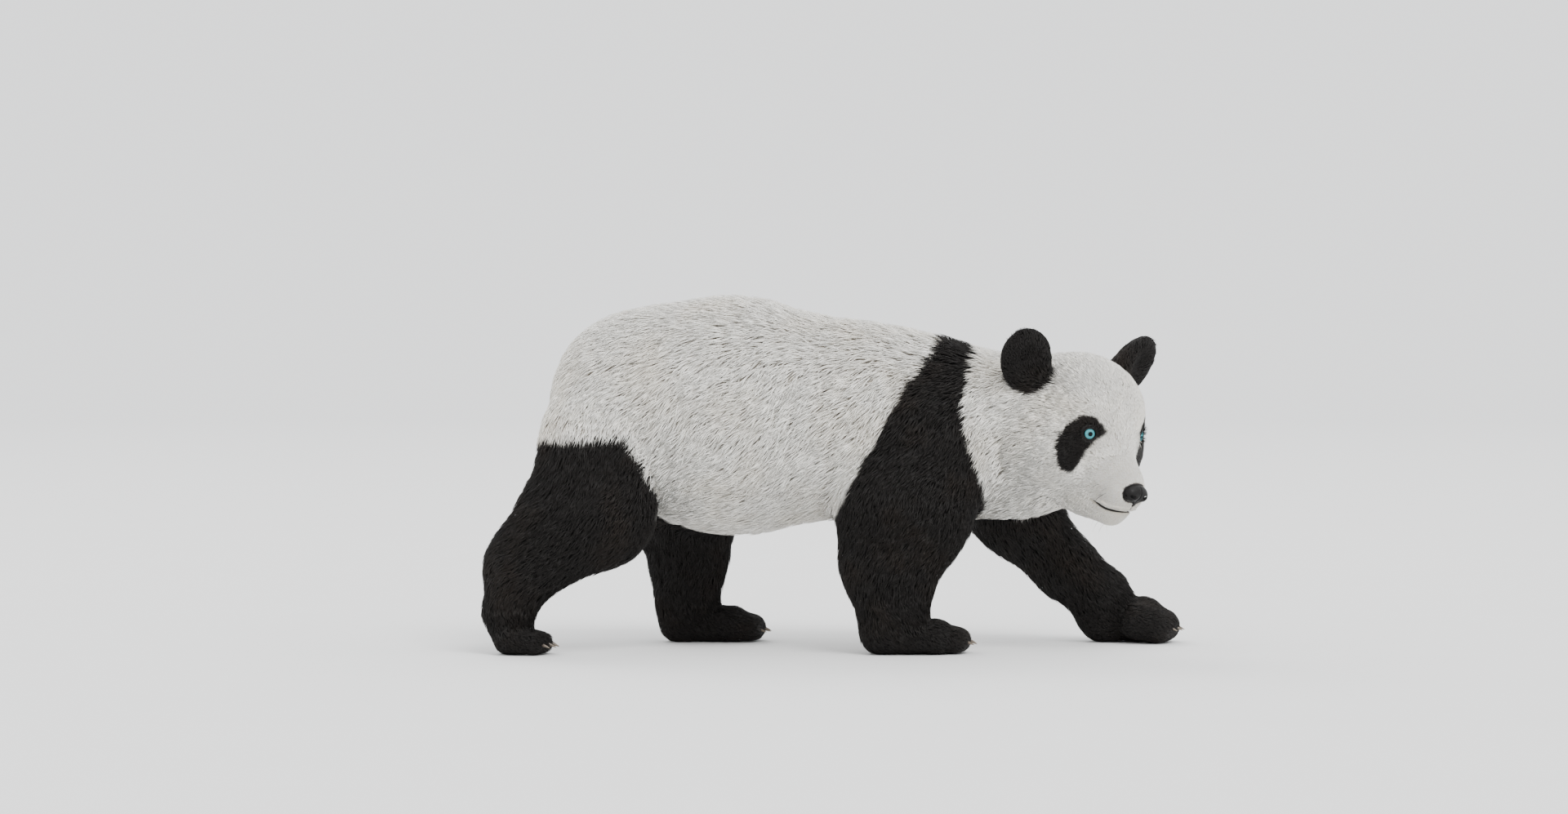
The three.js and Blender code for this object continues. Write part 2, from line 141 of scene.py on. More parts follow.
# A toe's length, how far the outer toes stand back and lie in from the paw's edge, and the fan that
# they make in radians. The rest are shares of the paw's height.
TOES = 5
TOE = dict(length=72, set_back=15, inset=18, fan=0.12, root_up=0.46, tip_up=0.35, tip_back=0.26,
           root_girth=0.4, tip_girth=0.35, claw_back=0.02)

# A claw's length, half its height and its droop, then shares: of its length inside the toe, of its
# height that it loses to its tip, of its width to its height, and its keel.
CLAW = dict(length=34, radius=5.2, drop=9, rooted=0.35, taper=0.93, flat=0.66, keel=0.12)

# How wide the masses flow into each other.
BLEND = dict(trunk=60, neck=60, leg_to_trunk=46, leg=34, paw=20, toe=9, head=30, head_to_neck=38,
             tail=14, ear=14, ear_cup=10)

# Coat of each part: how deep it lies over the skin, then a tuft's length and width, and how many
# tufts stand on a square centimetre.
COAT = dict(
    trunk=(20, 52, 2.95, 4.0),
    neck=(20, 46, 2.75, 4.5),
    leg=(14, 36, 2.6, 5.55),
    paw=(5, 16, 1.9, 11.5),
    head=(12, 30, 2.1, 12.2),
    face=(4.5, 13, 1.25, 35),
    muzzle=(2.2, 6.5, 0.95, 56),
    ear=(6, 16, 1.7, 19),
    tail=(14, 42, 2.8, 6),
)

# The black over the shoulders. Every outline of black runs counter-clockwise, in X and Z.
SHOULDER_BAND = ((10, 180), (255, 180), (268, 215), (320, 285), (334, 342), (289, 450), (274, 540),
                 (312, 662), (325, 800), (250, 800), (242, 688), (176, 603), (134, 540), (67, 410), (8, 301))

# The black of each leg: how far from the middle of the body it begins, on the leg's own side, and
# its side outline.
LEG_BLACK = dict(
    fore_right=(20, ((-40, -30), (400, -30), (400, 150), (320, 240), (320, 330), (52, 372), (10, 301),
                     (-6, 240), (-40, 150))),
    fore_left=(50, ((400, 105), (520, -30), (880, -30), (880, 130), (600, 300), (430, 385), (240, 400),
                    (262, 240))),
    hind_right=(-30, ((-820, -30), (-560, -30), (-480, 60), (-384, 190), (-384, 335), (-442, 468),
                      (-582, 456), (-820, 468))),
    hind_left=(20, ((-470, -30), (-60, -30), (-90, 120), (-160, 240), (-215, 330), (-400, 468),
                    (-582, 458), (-820, 468), (-640, 330), (-440, 190))),
)

# The dark patch round each eye, in millimetres from the eye, as it lies in the plane of these two
# axes of the head's frame. It is the right eye's, and the left one's is its mirror.
EYE_PATCH = ((38, 4), (30, 18), (18, 30), (4, 38), (-13, 38), (-28, 31), (-42, 23), (-53, 11), (-62, -2),
             (-69, -17), (-72, -32), (-72, -45), (-69, -58), (-63, -70), (-55, -79), (-45, -84), (-35, -84),
             (-26, -78), (-18, -66), (-11, -52), (-3, -38), (7, -25), (20, -12), (32, -3))
PATCH_RIGHT, PATCH_UP = (0.578, 0.766, 0.282), (-0.438, 0.0, 0.899)


# ---------- frames ----------

def turned(axis, degrees):
    """The matrix of a right-handed turn about X, Y or Z."""
    c, s = np.cos(np.radians(degrees)), np.sin(np.radians(degrees))
    turns = {
        "X": ((1, 0, 0), (0, c, -s), (0, s, c)),
        "Y": ((c, 0, s), (0, 1, 0), (-s, 0, c)),
        "Z": ((c, -s, 0), (s, c, 0), (0, 0, 1)),
    }
    return np.array(turns[axis])


def unit(v):
    """Each row of v, or v itself, at length one."""
    v = np.asarray(v, float)
    return v / np.maximum(np.linalg.norm(v, axis=-1, keepdims=True), 1e-9)


class Place:
    """A frame with its own axes: ahead, aside and up are the columns of its matrix."""

    def __init__(self, at, ahead, aside, up):
        self.at = np.array(at, float)
        self.axes = np.column_stack([ahead, aside, up])

    def local(self, p):
        return (p - self.at) @ self.axes

    def world(self, q):
        return np.asarray(q, float) @ self.axes.T + self.at

    def turn(self, v):
        return np.asarray(v, float) @ self.axes.T


head_turn = turned("Z", -HEAD["yaw"]) @ turned("Y", HEAD["pitch"]) @ turned("X", -HEAD["roll"])
head = Place(HEAD["at"], *head_turn.T)


def ear_place(side):
    """An ear's frame inside the head's: ahead is out of its cup, and up is to its tip."""
    splay, turn = np.radians(EAR["splay"]), np.radians(EAR["turn"])
    up = unit((-0.1, side * np.sin(splay), np.cos(splay)))
    out = np.array((np.cos(turn), side * np.sin(turn), 0))
    across = unit(np.cross(up, out))
    ahead = np.cross(across, up)
    x, y, z = EAR["at"]
    return Place((x, side * y, z), ahead, across, up)


def eye_place(side):
    """An eye's frame inside the head's: ahead is the way it looks."""
    outward, upward = np.radians(EYE["outward"]), np.radians(EYE["upward"])
    ahead = np.array((
        np.cos(outward) * np.cos(upward),
        side * np.sin(outward) * np.cos(upward),
        np.sin(upward),
    ))
    aside = unit(np.cross((0, 0, 1), ahead))
    x, y, z = EYE["at"]
    return Place((x, side * y, z), ahead, aside, np.cross(ahead, aside))


# ---------- masses: about the distance from a surface, negative inside ----------

def egg(centre, radii, tilt=0):
    c, s = np.cos(np.radians(tilt)), np.sin(np.radians(tilt))
    centre, radii = np.array(centre, float), np.array(radii, float)

    def distance(p):
        d = p - centre
        q = np.column_stack([d[:, 0] * c - d[:, 2] * s, d[:, 1], d[:, 0] * s + d[:, 2] * c]) / radii
        reach = np.linalg.norm(q, axis=1)
        slope = np.linalg.norm(q / radii, axis=1)
        return np.where(slope < 1e-9, -radii.min(), reach * (reach - 1) / np.maximum(slope, 1e-9))

    return distance


def limb(start, start_radius, end, end_radius, width=1.0):
    start, along = np.array(start, float), np.subtract(end, start).astype(float)

    def distance(p):
        t = np.clip((p - start) @ along / (along @ along), 0, 1)
        d = p - start - t[:, None] * along
        d[:, 1] /= width
        return np.linalg.norm(d, axis=1) - (start_radius + (end_radius - start_radius) * t)

    return distance


def soft_min(a, b, k):
    h = np.maximum(k - np.abs(a - b), 0) / k
    return np.minimum(a, b) - h * h * k / 4


def flow(k, masses):
    """Masses that flow into each other over a width of about k."""
    return lambda p: reduce(lambda a, b: soft_min(a, b, k), (mass(p) for mass in masses))


FAR = 400.0
MARGIN = 90


def is_near(p, low, high):
    """Whether each point is in a box, or within MARGIN of it."""
    return np.all((p > np.array(low) - MARGIN) & (p < np.array(high) + MARGIN), axis=1)


def only_near(mass, low, high):
    """The same mass, worked out only near its box: elsewhere it is just FAR."""
    def distance(p):
        near = is_near(p, low, high)
        value = np.full(len(p), FAR)
        value[near] = mass(p[near])
        return value

    return distance


# ---------- the animal ----------

def skull():
    """In the head's frame."""
    eggs = [egg(*mass) for mass in SKULL_EGGS.values()]
    limbs = [limb(*mass) for mass in SKULL_LIMBS.values()]
    return flow(BLEND["head"], eggs + limbs)


def ear_shape():
    """In the ear's frame: a rounded shell with a cup in its front."""
    shell = egg((0, 0, EAR["lift"]), (EAR["depth"], EAR["width"], EAR["height"]))
    solid, cup = flow(BLEND["ear"], [shell, limb(*EAR_ROOT)]), egg(*EAR_CUP)
    return lambda p: -soft_min(-solid(p), cup(p), BLEND["ear_cup"])


def toes_of(leg):
    """Where each toe of a paw starts and ends, and where its claw leaves it."""
    paw, side = leg["paw"], leg["side"]
    heading = np.radians(-side * paw["toe_in"])
    ahead = np.array((np.cos(heading), np.sin(heading), 0))
    aside = np.array((-np.sin(heading), np.cos(heading), 0))
    heel = np.array((paw["heel"], side * FOOT_LINE, 0))
    middle = (TOES - 1) / 2
    high = paw["height"]
    tip_up = (0, 0, high * TOE["tip_up"] + 1)
    toes = []
    for i in range(TOES):
        share = (i - middle) / middle
        reach = paw["length"] - TOE["set_back"] * share * share
        across = share * (paw["width"] / 2 - TOE["inset"])
        spread = heading + share * TOE["fan"]
        root_up = (0, 0, high * TOE["root_up"])
        toes.append(dict(
            root=heel + ahead * (reach - TOE["length"]) + aside * across * 0.8 + root_up,
            tip=heel + ahead * (reach - high * TOE["tip_back"]) + aside * across + tip_up,
            radius=(high * TOE["root_girth"], high * TOE["tip_girth"]),
            claw=heel + ahead * (reach - high * TOE["claw_back"]) + aside * across * 1.03 + tip_up,
            ahead=np.array((np.cos(spread), np.sin(spread), 0)),
        ))
    return toes


def leg_bones(leg):
    """Each length of a leg above its paw: (start, start radius, end, end radius)."""
    joints = [np.array((x, leg["side"] * y, z), float) for x, y, z in leg["joints"]]
    girth = leg["girth"]
    bones = [(joints[i], girth[i], joints[i + 1], girth[i + 1]) for i in range(len(joints) - 1)]
    if "ham" in leg:
        ends = [np.array((x, leg["side"] * y, z)) for x, y, z in (leg["ham"]["start"], leg["ham"]["end"])]
        bones.append((ends[0], leg["ham"]["girth"][0], ends[1], leg["ham"]["girth"][1]))
    return bones


def paw_mass(leg):
    """A sole, an instep from the ankle down to the heel, and the toes."""
    paw, side = leg["paw"], leg["side"]
    y = side * FOOT_LINE
    x, out, z = leg["joints"][-1]
    pad = paw["height"] / 2
    sole_end = (paw["heel"] + paw["length"] - TOE["length"], y, pad - 3)
    sole = limb((paw["heel"] + pad, y, pad), pad, sole_end, pad, paw["width"] / paw["height"])
    instep = limb((x, side * out, z), leg["girth"][3] * 0.9, (paw["heel"] + pad * 1.2, y, pad), pad)
    toes = [limb(toe["root"], toe["radius"][0], toe["tip"], toe["radius"][1]) for toe in toes_of(leg)]
    return flow(BLEND["toe"], [flow(BLEND["paw"], [sole, instep]), *toes])


def leg_box(leg):
    """The corners of a box round a leg's bones and paw."""
    ends = np.array([end for bone in leg_bones(leg) for end in (bone[0], bone[2])])
    toes = np.array([toe["tip"] for toe in toes_of(leg)])
    girth = max(leg["girth"])
    low = np.minimum(ends.min(axis=0) - girth, toes.min(axis=0))
    high = np.maximum(ends.max(axis=0) + girth, toes.max(axis=0))
    return low, high


SKULL_BOX = ((-165, -175, -190), (232, 175, 175))
EAR_BOX = ((-45, -68, -78), (45, 68, 94))
NECK_BOX = ((50, -240, 260), (600, 200, 680))
TAIL_BOX = ((-660, -60, 380), (-540, 60, 600))

trunk_mass = flow(BLEND["trunk"], [egg(*mass) for mass in TRUNK.values()])
neck_limb = limb(NECK["start"], NECK["girth"][0], NECK["end"], NECK["girth"][1], NECK["width"])
throat_egg = egg(*THROAT)
neck_mass, throat_mass = only_near(neck_limb, *NECK_BOX), only_near(throat_egg, *NECK_BOX)
tail_limb = limb(TAIL["start"], TAIL["girth"][0], TAIL["end"], TAIL["girth"][1], TAIL["width"])
tail_mass = only_near(tail_limb, *TAIL_BOX)
leg_boxes = {name: leg_box(leg) for name, leg in LEGS.items()}
bone_masses = {name: [limb(*bone, leg["width"]) for bone in leg_bones(leg)] for name, leg in LEGS.items()}
paw_masses = {name: paw_mass(leg) for name, leg in LEGS.items()}
leg_masses = {
    name: only_near(flow(BLEND["leg"], [*bone_masses[name], paw_masses[name]]), *leg_boxes[name])
    for name in LEGS
}
skull_mass = only_near(skull(), *SKULL_BOX)
ear_mass = only_near(ear_shape(), *EAR_BOX)
ears = {side: ear_place(side) for side in (1, -1)}
eyes = {side: eye_place(side) for side in (1, -1)}


def animal(p):
    """The whole animal out to the tips of its coat."""
    whole = soft_min(trunk_mass(p), neck_mass(p), BLEND["neck"])
    whole = soft_min(whole, throat_mass(p), BLEND["neck"])
    for leg_mass in leg_masses.values():
        whole = soft_min(whole, leg_mass(p), BLEND["leg_to_trunk"])
    h = head.local(p)
    whole = soft_min(whole, skull_mass(h), BLEND["head_to_neck"])
    whole = soft_min(whole, tail_mass(p), BLEND["tail"])
    for ear in ears.values():
        whole = soft_min(whole, ear_mass(ear.local(h)), BLEND["ear"])
    return whole


def slope_of(field, p, value, step=0.5):
    """The gradient at each point of a field with the values given there."""
    sides = []
    for axis in range(3):
        beside = p.copy()
        beside[:, axis] += step
        sides.append((field(beside) - value) / step)
    return np.column_stack(sides)


def smooth(low, high, x):
    """0 below low, 1 above high, and an even curve between."""
    t = np.clip((x - low) / (high - low), 0, 1)
    return t * t * (3 - 2 * t)


# ---------- lie, depth and length of the coat ----------

def face_share(h):
    """(face, muzzle) shares of the head's coat, at points in the head's frame."""
    muzzle = smooth(112, 165, h[:, 0] - 0.35 * np.abs(h[:, 2] + 50))
    face = smooth(30, 112, h[:, 0] + 0.15 * h[:, 2])
    return face * (1 - muzzle), muzzle


def head_grain(h):
    """Back from the nose, over the crown, down the cheeks and out all round each eye."""
    away = unit(h - np.array((225, 0, -45)))
    sag = smooth(30, 130, np.abs(h[:, 1]))[:, None] * np.array((0, 0, -0.7))
    lie = away + sag
    for eye in eyes.values():
        out = h - eye.at
        near = 1 - smooth(EYE["radius"] + 2, EYE["radius"] + 26, np.linalg.norm(out, axis=1))
        lie = lie * (1 - near)[:, None] + 1.6 * near[:, None] * unit(out)
    return head.turn(lie)


def head_coat(h):
    """The head's coat, from long at its back to short on the face and shortest on the muzzle."""
    face, muzzle = face_share(h)
    coat = (1 - face - muzzle)[:, None] * COAT["head"] + face[:, None] * COAT["face"]
    return coat + muzzle[:, None] * COAT["muzzle"]


def flank_grain(p):
    """Back along the spine, and more and more downward round the flank."""
    return unit(np.column_stack([-np.ones(len(p)), 0 * p[:, 1], -0.2 - 0.7 * np.abs(p[:, 1]) / 240]))


def ear_grain(e):
    """Up from the ear's root and out to its rim."""
    return unit(np.column_stack([0 * e[:, 0], 0.8 * e[:, 1] / 60, 0.75 + e[:, 2] / 90]))


def coat_parts(p):
    """Each part's points, its distance there, its coat and the lie of its fur."""
    everywhere = np.ones(len(p), bool)
    yield everywhere, trunk_mass(p), COAT["trunk"], flank_grain(p)
    near = is_near(p, *NECK_BOX)
    yield near, neck_limb(p[near]), COAT["neck"], unit((-0.9, 0.1, -0.5))
    yield near, throat_egg(p[near]), COAT["neck"], unit((-0.8, 0.1, -0.6))
    near = is_near(p, *TAIL_BOX)
    yield near, tail_limb(p[near]), COAT["tail"], unit((-0.2, 0, -1))
    h = head.local(p)
    near = is_near(h, *SKULL_BOX)
    yield near, skull_mass(h[near]), head_coat(h[near]), head_grain(h[near])
    for ear in ears.values():
        e = ear.local(h)
        near = is_near(e, *EAR_BOX)
        yield near, ear_mass(e[near]), COAT["ear"], head.turn(ear.turn(ear_grain(e[near])))
    for name, leg in LEGS.items():
        near = is_near(p, *leg_boxes[name])
        q = p[near]
        for mass, bone in zip(bone_masses[name], leg_bones(leg)):
            yield near, mass(q), COAT["leg"], unit(unit(bone[2] - bone[0]) + (-0.3, 0, -0.15))
        heading = toes_of(leg)[2]["ahead"]
        yield near, paw_masses[name](q), COAT["paw"], unit(heading + (0, 0, -0.35))


# Over how many millimetres one part's coat gives way to the next one's.
COAT_BLEND = 16


def coat_at(p, with_grain=True):
    """Depth, length, width and tufts per square centimetre at each point, and the fur's lie."""
    total = np.zeros((len(p), 1))
    coat, grain = np.zeros((len(p), 4)), np.zeros((len(p), 3))
    for near, distance, part_coat, part_grain in coat_parts(p):
        weight = np.exp(-distance / COAT_BLEND)[:, None]
        total[near] += weight
        coat[near] += weight * part_coat
        if with_grain:
            grain[near] += weight * part_grain
    return coat / total, unit(grain)


# ---------- markings: 1 where the coat is black, 0 where it is white ----------

def outline_distance(q, outline):
    """Distance of flat points from a closed outline, negative inside it."""
    corners = np.array(outline, float)
    nearest = np.full(len(q), np.inf)
    inside = np.zeros(len(q), bool)
    for a, b in zip(corners, np.roll(corners, -1, axis=0)):
        edge = b - a
        t = np.clip((q - a) @ edge / (edge @ edge), 0, 1)
        nearest = np.minimum(nearest, np.linalg.norm(q - a - t[:, None] * edge, axis=1))
        crosses = (a[1] > q[:, 1]) != (b[1] > q[:, 1])
        rise = np.where(abs(edge[1]) < 1e-9, 1e-9, edge[1])
        inside ^= crosses & (q[:, 0] < a[0] + (q[:, 1] - a[1]) * edge[0] / rise)
    return np.where(inside, -nearest, nearest)


def ripple(p, size):
    """A smooth, wandering value between about -1 and 1."""
    q = p / size
    return (
        np.sin(q[:, 0] * 1.7 + 2 * np.sin(q[:, 1] * 0.9 + 1.3) + 0.4)
        + np.sin(q[:, 1] * 1.9 + 2 * np.sin(q[:, 2] * 1.1 + 0.7) + 2.1)
        + np.sin(q[:, 2] * 2.1 + 2 * np.sin(q[:, 0] * 0.8 + 2.9) + 4.0)
    ) / 3


def eye_patch_distance(h, side):
    """Distance from the patch that slants down and out from an eye, in the head's frame."""
    d = (h - eyes[side].at) * (1, -side, 1)
    flat = np.column_stack([d @ PATCH_RIGHT, d @ PATCH_UP])
    on_its_side = h[:, 1] * side > 4
    return np.where(on_its_side & (h[:, 0] > -20), outline_distance(flat, EYE_PATCH), 100)


def ear_black_distance(h, ear):
    """Distance from the ear's black, which runs a little way down onto the head."""
    e = ear.local(h)
    across = np.hypot(e[:, 1] / 66, (e[:, 2] - 22) / 78)
    return np.maximum(ear_mass(e) - 8, (across - 1) * 66)


def blackness(p):
    """The coat's marking at each point of skin or root of fur."""
    q = p[:, [0, 2]]
    patches = [outline_distance(q, SHOULDER_BAND)]
    for name, (begins, outline) in LEG_BLACK.items():
        off_side = begins - LEGS[name]["side"] * p[:, 1]
        patches.append(np.maximum(outline_distance(q, outline), off_side))
    h = head.local(p)
    in_head = skull_mass(h) < 25
    body = np.where(in_head & (h[:, 0] > -110), 100, np.min(patches, axis=0))
    white_tail = -4 - tail_mass(p)
    body = np.maximum(body, white_tail)
    face = [np.where(in_head, eye_patch_distance(h, side), 100) for side in (1, -1)]
    face += [ear_black_distance(h, ear) for ear in ears.values()]
    edge = np.minimum(body + 5 * ripple(p, 22), np.min(face, axis=0) + 2 * ripple(p, 9))
    return 1 - smooth(-3, 3, edge)


# ---------- the skin's own field ----------

MOUTH = dict(front=221, corner=148, height=-100, drop=9, width=3.4, depth=5.0)
UPPER_LIP = dict(above=8, width=5, out=2.2)
LIP_SPLIT = dict(width=2.2, depth=3.2, front=(196, 208), bottom=(-104, -94), top=(-58, -70))
EYE_FOLD = dict(out=19, width=4.5, depth=2.2)
SOCKET = dict(clear=1.6, rounding=2.5)


def mouth_line(x):
    """The height of the mouth: level under the nose, sagging, and turned up at its corner."""
    along = np.clip((MOUTH["front"] - x) / (MOUTH["front"] - MOUTH["corner"]), 0, 1)
    return MOUTH["height"] - MOUTH["drop"] * np.sin(along * 2.6)


def mouth_groove(h):
    """How deep the mouth and the split of the upper lip are drawn in, in the head's frame."""
    x, y, z = h.T
    on_mouth = smooth(MOUTH["corner"] - 4, MOUTH["corner"] + 12, x)
    mouth = MOUTH["depth"] * np.exp(-(((z - mouth_line(x)) / MOUTH["width"]) ** 2)) * on_mouth
    split = np.exp(-((y / LIP_SPLIT["width"]) ** 2)) * smooth(*LIP_SPLIT["front"], x)
    for edge in ("bottom", "top"):
        split = split * smooth(*LIP_SPLIT[edge], z)
    return mouth + LIP_SPLIT["depth"] * split


def face_folds(h):
    """How far the skin of the face is drawn in, with the upper lip standing out over the mouth."""
    x, _, z = h.T
    on_mouth = smooth(MOUTH["corner"], MOUTH["corner"] + 30, x)
    above = z - mouth_line(x) - UPPER_LIP["above"]
    lip = UPPER_LIP["out"] * np.exp(-((above / UPPER_LIP["width"]) ** 2)) * on_mouth
    return mouth_groove(h) - lip


def coat_depth(p):
    return coat_at(p, with_grain=False)[0][:, 0]


def skin_field(p, depth=None):
    """The skin: the animal less the depth of its coat, with its folds and eye sockets."""
    depth = coat_depth(p) if depth is None else depth
    h = head.local(p)
    near_face = (h[:, 0] > 60) & (np.abs(h[:, 1]) < 130) & (h[:, 2] > -170)
    skin = animal(p) + depth
    if near_face.any():
        f = h[near_face]
        face = skin[near_face] + face_folds(f)
        for eye in eyes.values():
            reach = np.linalg.norm(f - eye.at, axis=1)
            fold = np.exp(-(((reach - EYE_FOLD["out"]) / EYE_FOLD["width"]) ** 2))
            face = face - EYE_FOLD["depth"] * fold
            face = -soft_min(-face, reach - (EYE["radius"] + SOCKET["clear"]), SOCKET["rounding"])
        skin[near_face] = face
    return skin


# ---------- surfacing a field ----------

CORNERS = np.array([(c & 1, c >> 1 & 1, c >> 2) for c in range(8)])
CELL_EDGES = [(i, i | bit) for i in range(8) for bit in (1, 2, 4) if not i & bit]

# Each pass over a grid: its step in cells, and within how many cells of the surface it is made.
GRID_STEPS = ((4, None), (2, 7.5), (1, 3.5))


def grid_values(field, low, size, cell):
    """The field on a grid: rough everywhere, then finer and finer near its surface."""
    values = None
    for step, reach in GRID_STEPS:
        shape = [-(-s // step) for s in size]
        if values is None:
            values = np.zeros(shape)
            near = np.argwhere(values == 0)
        else:
            for axis in range(3):
                values = np.repeat(values, 2, axis=axis)
            values = values[:shape[0], :shape[1], :shape[2]].copy()
            near = np.argwhere(np.abs(values) < cell * reach)
        values[tuple(near.T)] = field(np.array(low) + near * (cell * step))
    return values


def surface_net(field, low, high, cell):
    """(vertices, quads) of the field's surface, with one vertex in each cell it crosses."""
    size = [int(np.ceil((high[a] - low[a]) / cell)) + 1 for a in range(3)]
    values = grid_values(field, low, size, cell)
    inside = values < 0
    cells = [s - 1 for s in size]
    count = np.zeros(cells, int)
    for a, b, c in CORNERS:
        count += inside[a:a + cells[0], b:b + cells[1], c:c + cells[2]]
    crossed = np.argwhere((count > 0) & (count < 8))
    number = np.full(cells, -1)
    number[tuple(crossed.T)] = np.arange(len(crossed))
    found = np.column_stack([values[tuple((crossed + corner).T)] for corner in CORNERS])
    total, hits = np.zeros((len(crossed), 3)), np.zeros(len(crossed))
    for i, j in CELL_EDGES:
        a, b = found[:, i], found[:, j]
        hit = (a < 0) != (b < 0)
        t = np.where(hit, a / np.where(hit, a - b, 1), 0)
        total += hit[:, None] * (CORNERS[i] + t[:, None] * (CORNERS[j] - CORNERS[i]))
        hits += hit
    vertices = np.array(low) + cell * (crossed + total / hits[:, None])
    quads = []
    for a in range(3):
        b, c = (a + 1) % 3, (a + 2) % 3
        first = [slice(None)] * 3
        second = [slice(None)] * 3
        first[a], second[a] = slice(0, -1), slice(1, None)
        edge = np.argwhere(inside[tuple(first)] != inside[tuple(second)])
        edge = edge[(edge[:, b] > 0) & (edge[:, c] > 0) & (edge[:, b] < cells[b]) & (edge[:, c] < cells[c])]
        back_b, back_c = np.zeros(3, int), np.zeros(3, int)
        back_b[b], back_c[c] = 1, 1
        ring = [edge - back_b - back_c, edge - back_c, edge, edge - back_b]
        ring = np.column_stack([number[tuple(at.T)] for at in ring])
        outward = inside[tuple(edge.T)]
        quads.append(np.where(outward[:, None], ring, ring[:, ::-1]))
    return vertices, np.concatenate(quads)


def settled(field, p, most, frozen=None, rounds=2):
    """Points moved onto the field's zero surface along its slope, by no more than most.

    frozen gives the field's slower part at each point, which its slope can do without.
    """
    start = p.copy()
    for _ in range(rounds):
        kept = () if frozen is None else (frozen(p),)
        value = field(p, *kept)
        slope = slope_of(lambda q: field(q, *kept), p, value)
        steep = np.maximum((slope ** 2).sum(axis=1), 0.05)
        p = p - slope * (value / steep)[:, None]
    moved = p - start
    far = np.linalg.norm(moved, axis=1)
    return start + moved * np.minimum(1, most / np.maximum(far, 1e-9))[:, None]


# ---------- from arrays to Blender objects ----------

def centring_shift():
    """From the field's own origin to the frame's, in metres, read at an eye."""
    low, high = (np.array(corner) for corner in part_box("eye_right"))
    return (low + high) / 2 - head.world(eyes[-1].at) * MM


SHIFT = centring_shift()


def to_frame(p):
    return np.asarray(p) * MM + SHIFT


def mesh_object(name, vertices, faces):
    """A smooth-shaded object from points in millimetres and rows of corner numbers, all of one length."""
    mesh = bpy.data.meshes.new(name)
    sides = faces.shape[1]
    mesh.vertices.add(len(vertices))
    mesh.vertices.foreach_set("co", to_frame(vertices).astype(np.float32).ravel())
    mesh.loops.add(faces.size)
    mesh.loops.foreach_set("vertex_index", faces.astype(np.int32).ravel())
    mesh.polygons.add(len(faces))
    mesh.polygons.foreach_set("loop_start", np.arange(0, faces.size, sides, dtype=np.int32))
    mesh.polygons.foreach_set("use_smooth", np.ones(len(faces), bool))
    mesh.update(calc_edges=True)
    mesh.validate()
    piece = bpy.data.objects.new(name, mesh)
    bpy.context.scene.collection.objects.link(piece)
    return piece


def set_attribute(piece, name, values):
    """A number for each vertex, for the materials to read."""
    layer = piece.data.attributes.new(name, "FLOAT", "POINT")
    layer.data.foreach_set("value", np.asarray(values, np.float32))


def finish_piece(piece, material, replaced=()):
    piece.data.materials.clear()
    piece.data.materials.append(material)
    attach(piece, "root")
    if replaced:
        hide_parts(*replaced)
    return piece


# ---------- materials ----------

class Tree:
    """A node tree and short ways to add to it."""

    def __init__(self, tree):
        self.tree = tree

    def add(self, kind, **settings):
        node = self.tree.nodes.new(kind)
        for key, value in settings.items():
            setattr(node, key, value)
        return node

    def link(self, source, target):
        self.tree.links.new(source, target)

    def put(self, target, value):
        """Links a socket to the target, or sets a plain value on it."""
        if isinstance(value, bpy.types.NodeSocket):
            self.link(value, target)
        else:
            target.default_value = value

    def math(self, operation, first, second=0.0):
        node = self.add("ShaderNodeMath", operation=operation)
        for target, value in zip(node.inputs, (first, second)):
            self.put(target, value)
        return node.outputs["Value"]


class Nodes(Tree):
    """A material's node tree, with what this animal's finishes need."""

    def __init__(self, name):
        self.material = bpy.data.materials.new(name)
        self.material.use_nodes = True
        super().__init__(self.material.node_tree)
        self.tree.nodes.clear()
        self.shader = self.add("ShaderNodeBsdfPrincipled")
        self.output = self.add("ShaderNodeOutputMaterial")
        self.link(self.shader.outputs["BSDF"], self.output.inputs["Surface"])

    def attribute(self, name):
        return self.add("ShaderNodeAttribute", attribute_name=name).outputs["Fac"]

    def noise(self, scale, detail=3.0, roughness=0.5):
        """Noise in the piece's own space, from 0 to 1, with scale in waves per metre."""
        node = self.add("ShaderNodeTexNoise")
        node.inputs["Scale"].default_value = scale
        node.inputs["Detail"].default_value = detail
        node.inputs["Roughness"].default_value = roughness
        place = self.add("ShaderNodeTexCoord")
        self.link(place.outputs["Object"], node.inputs["Vector"])
        return node.outputs["Fac"]

    def ramp(self, source, stops):
        """Colours or greys along a value: stops are (position, colour)."""
        node = self.add("ShaderNodeValToRGB")
        band = node.color_ramp
        while len(band.elements) < len(stops):
            band.elements.new(0.5)
        for element, (position, colour) in zip(band.elements, stops):
            element.position = position
            element.color = (*colour, 1) if isinstance(colour, tuple) else (colour,) * 3 + (1,)
        self.link(source, node.inputs["Fac"])
        return node.outputs["Color"]

    def mix(self, share, first, second, blend="MIX"):
        node = self.add("ShaderNodeMix", data_type="RGBA", blend_type=blend)
        for socket, value in (("Factor", share), ("A", first), ("B", second)):
            target = next(s for s in node.inputs if s.name == socket and s.enabled)
            self.put(target, (*value, 1) if isinstance(value, tuple) else value)
        return next(s for s in node.outputs if s.enabled)

    def bump(self, height, strength, distance):
        node = self.add("ShaderNodeBump")
        node.inputs["Strength"].default_value = strength
        node.inputs["Distance"].default_value = distance
        self.link(height, node.inputs["Height"])
        self.link(node.outputs["Normal"], self.shader.inputs["Normal"])

    def set(self, **values):
        for name, value in values.items():
            self.shader.inputs[name.replace("_", " ")].default_value = value

    def colour(self, source):
        self.link(source, self.shader.inputs["Base Color"])

    def roughness(self, source):
        self.link(source, self.shader.inputs["Roughness"])


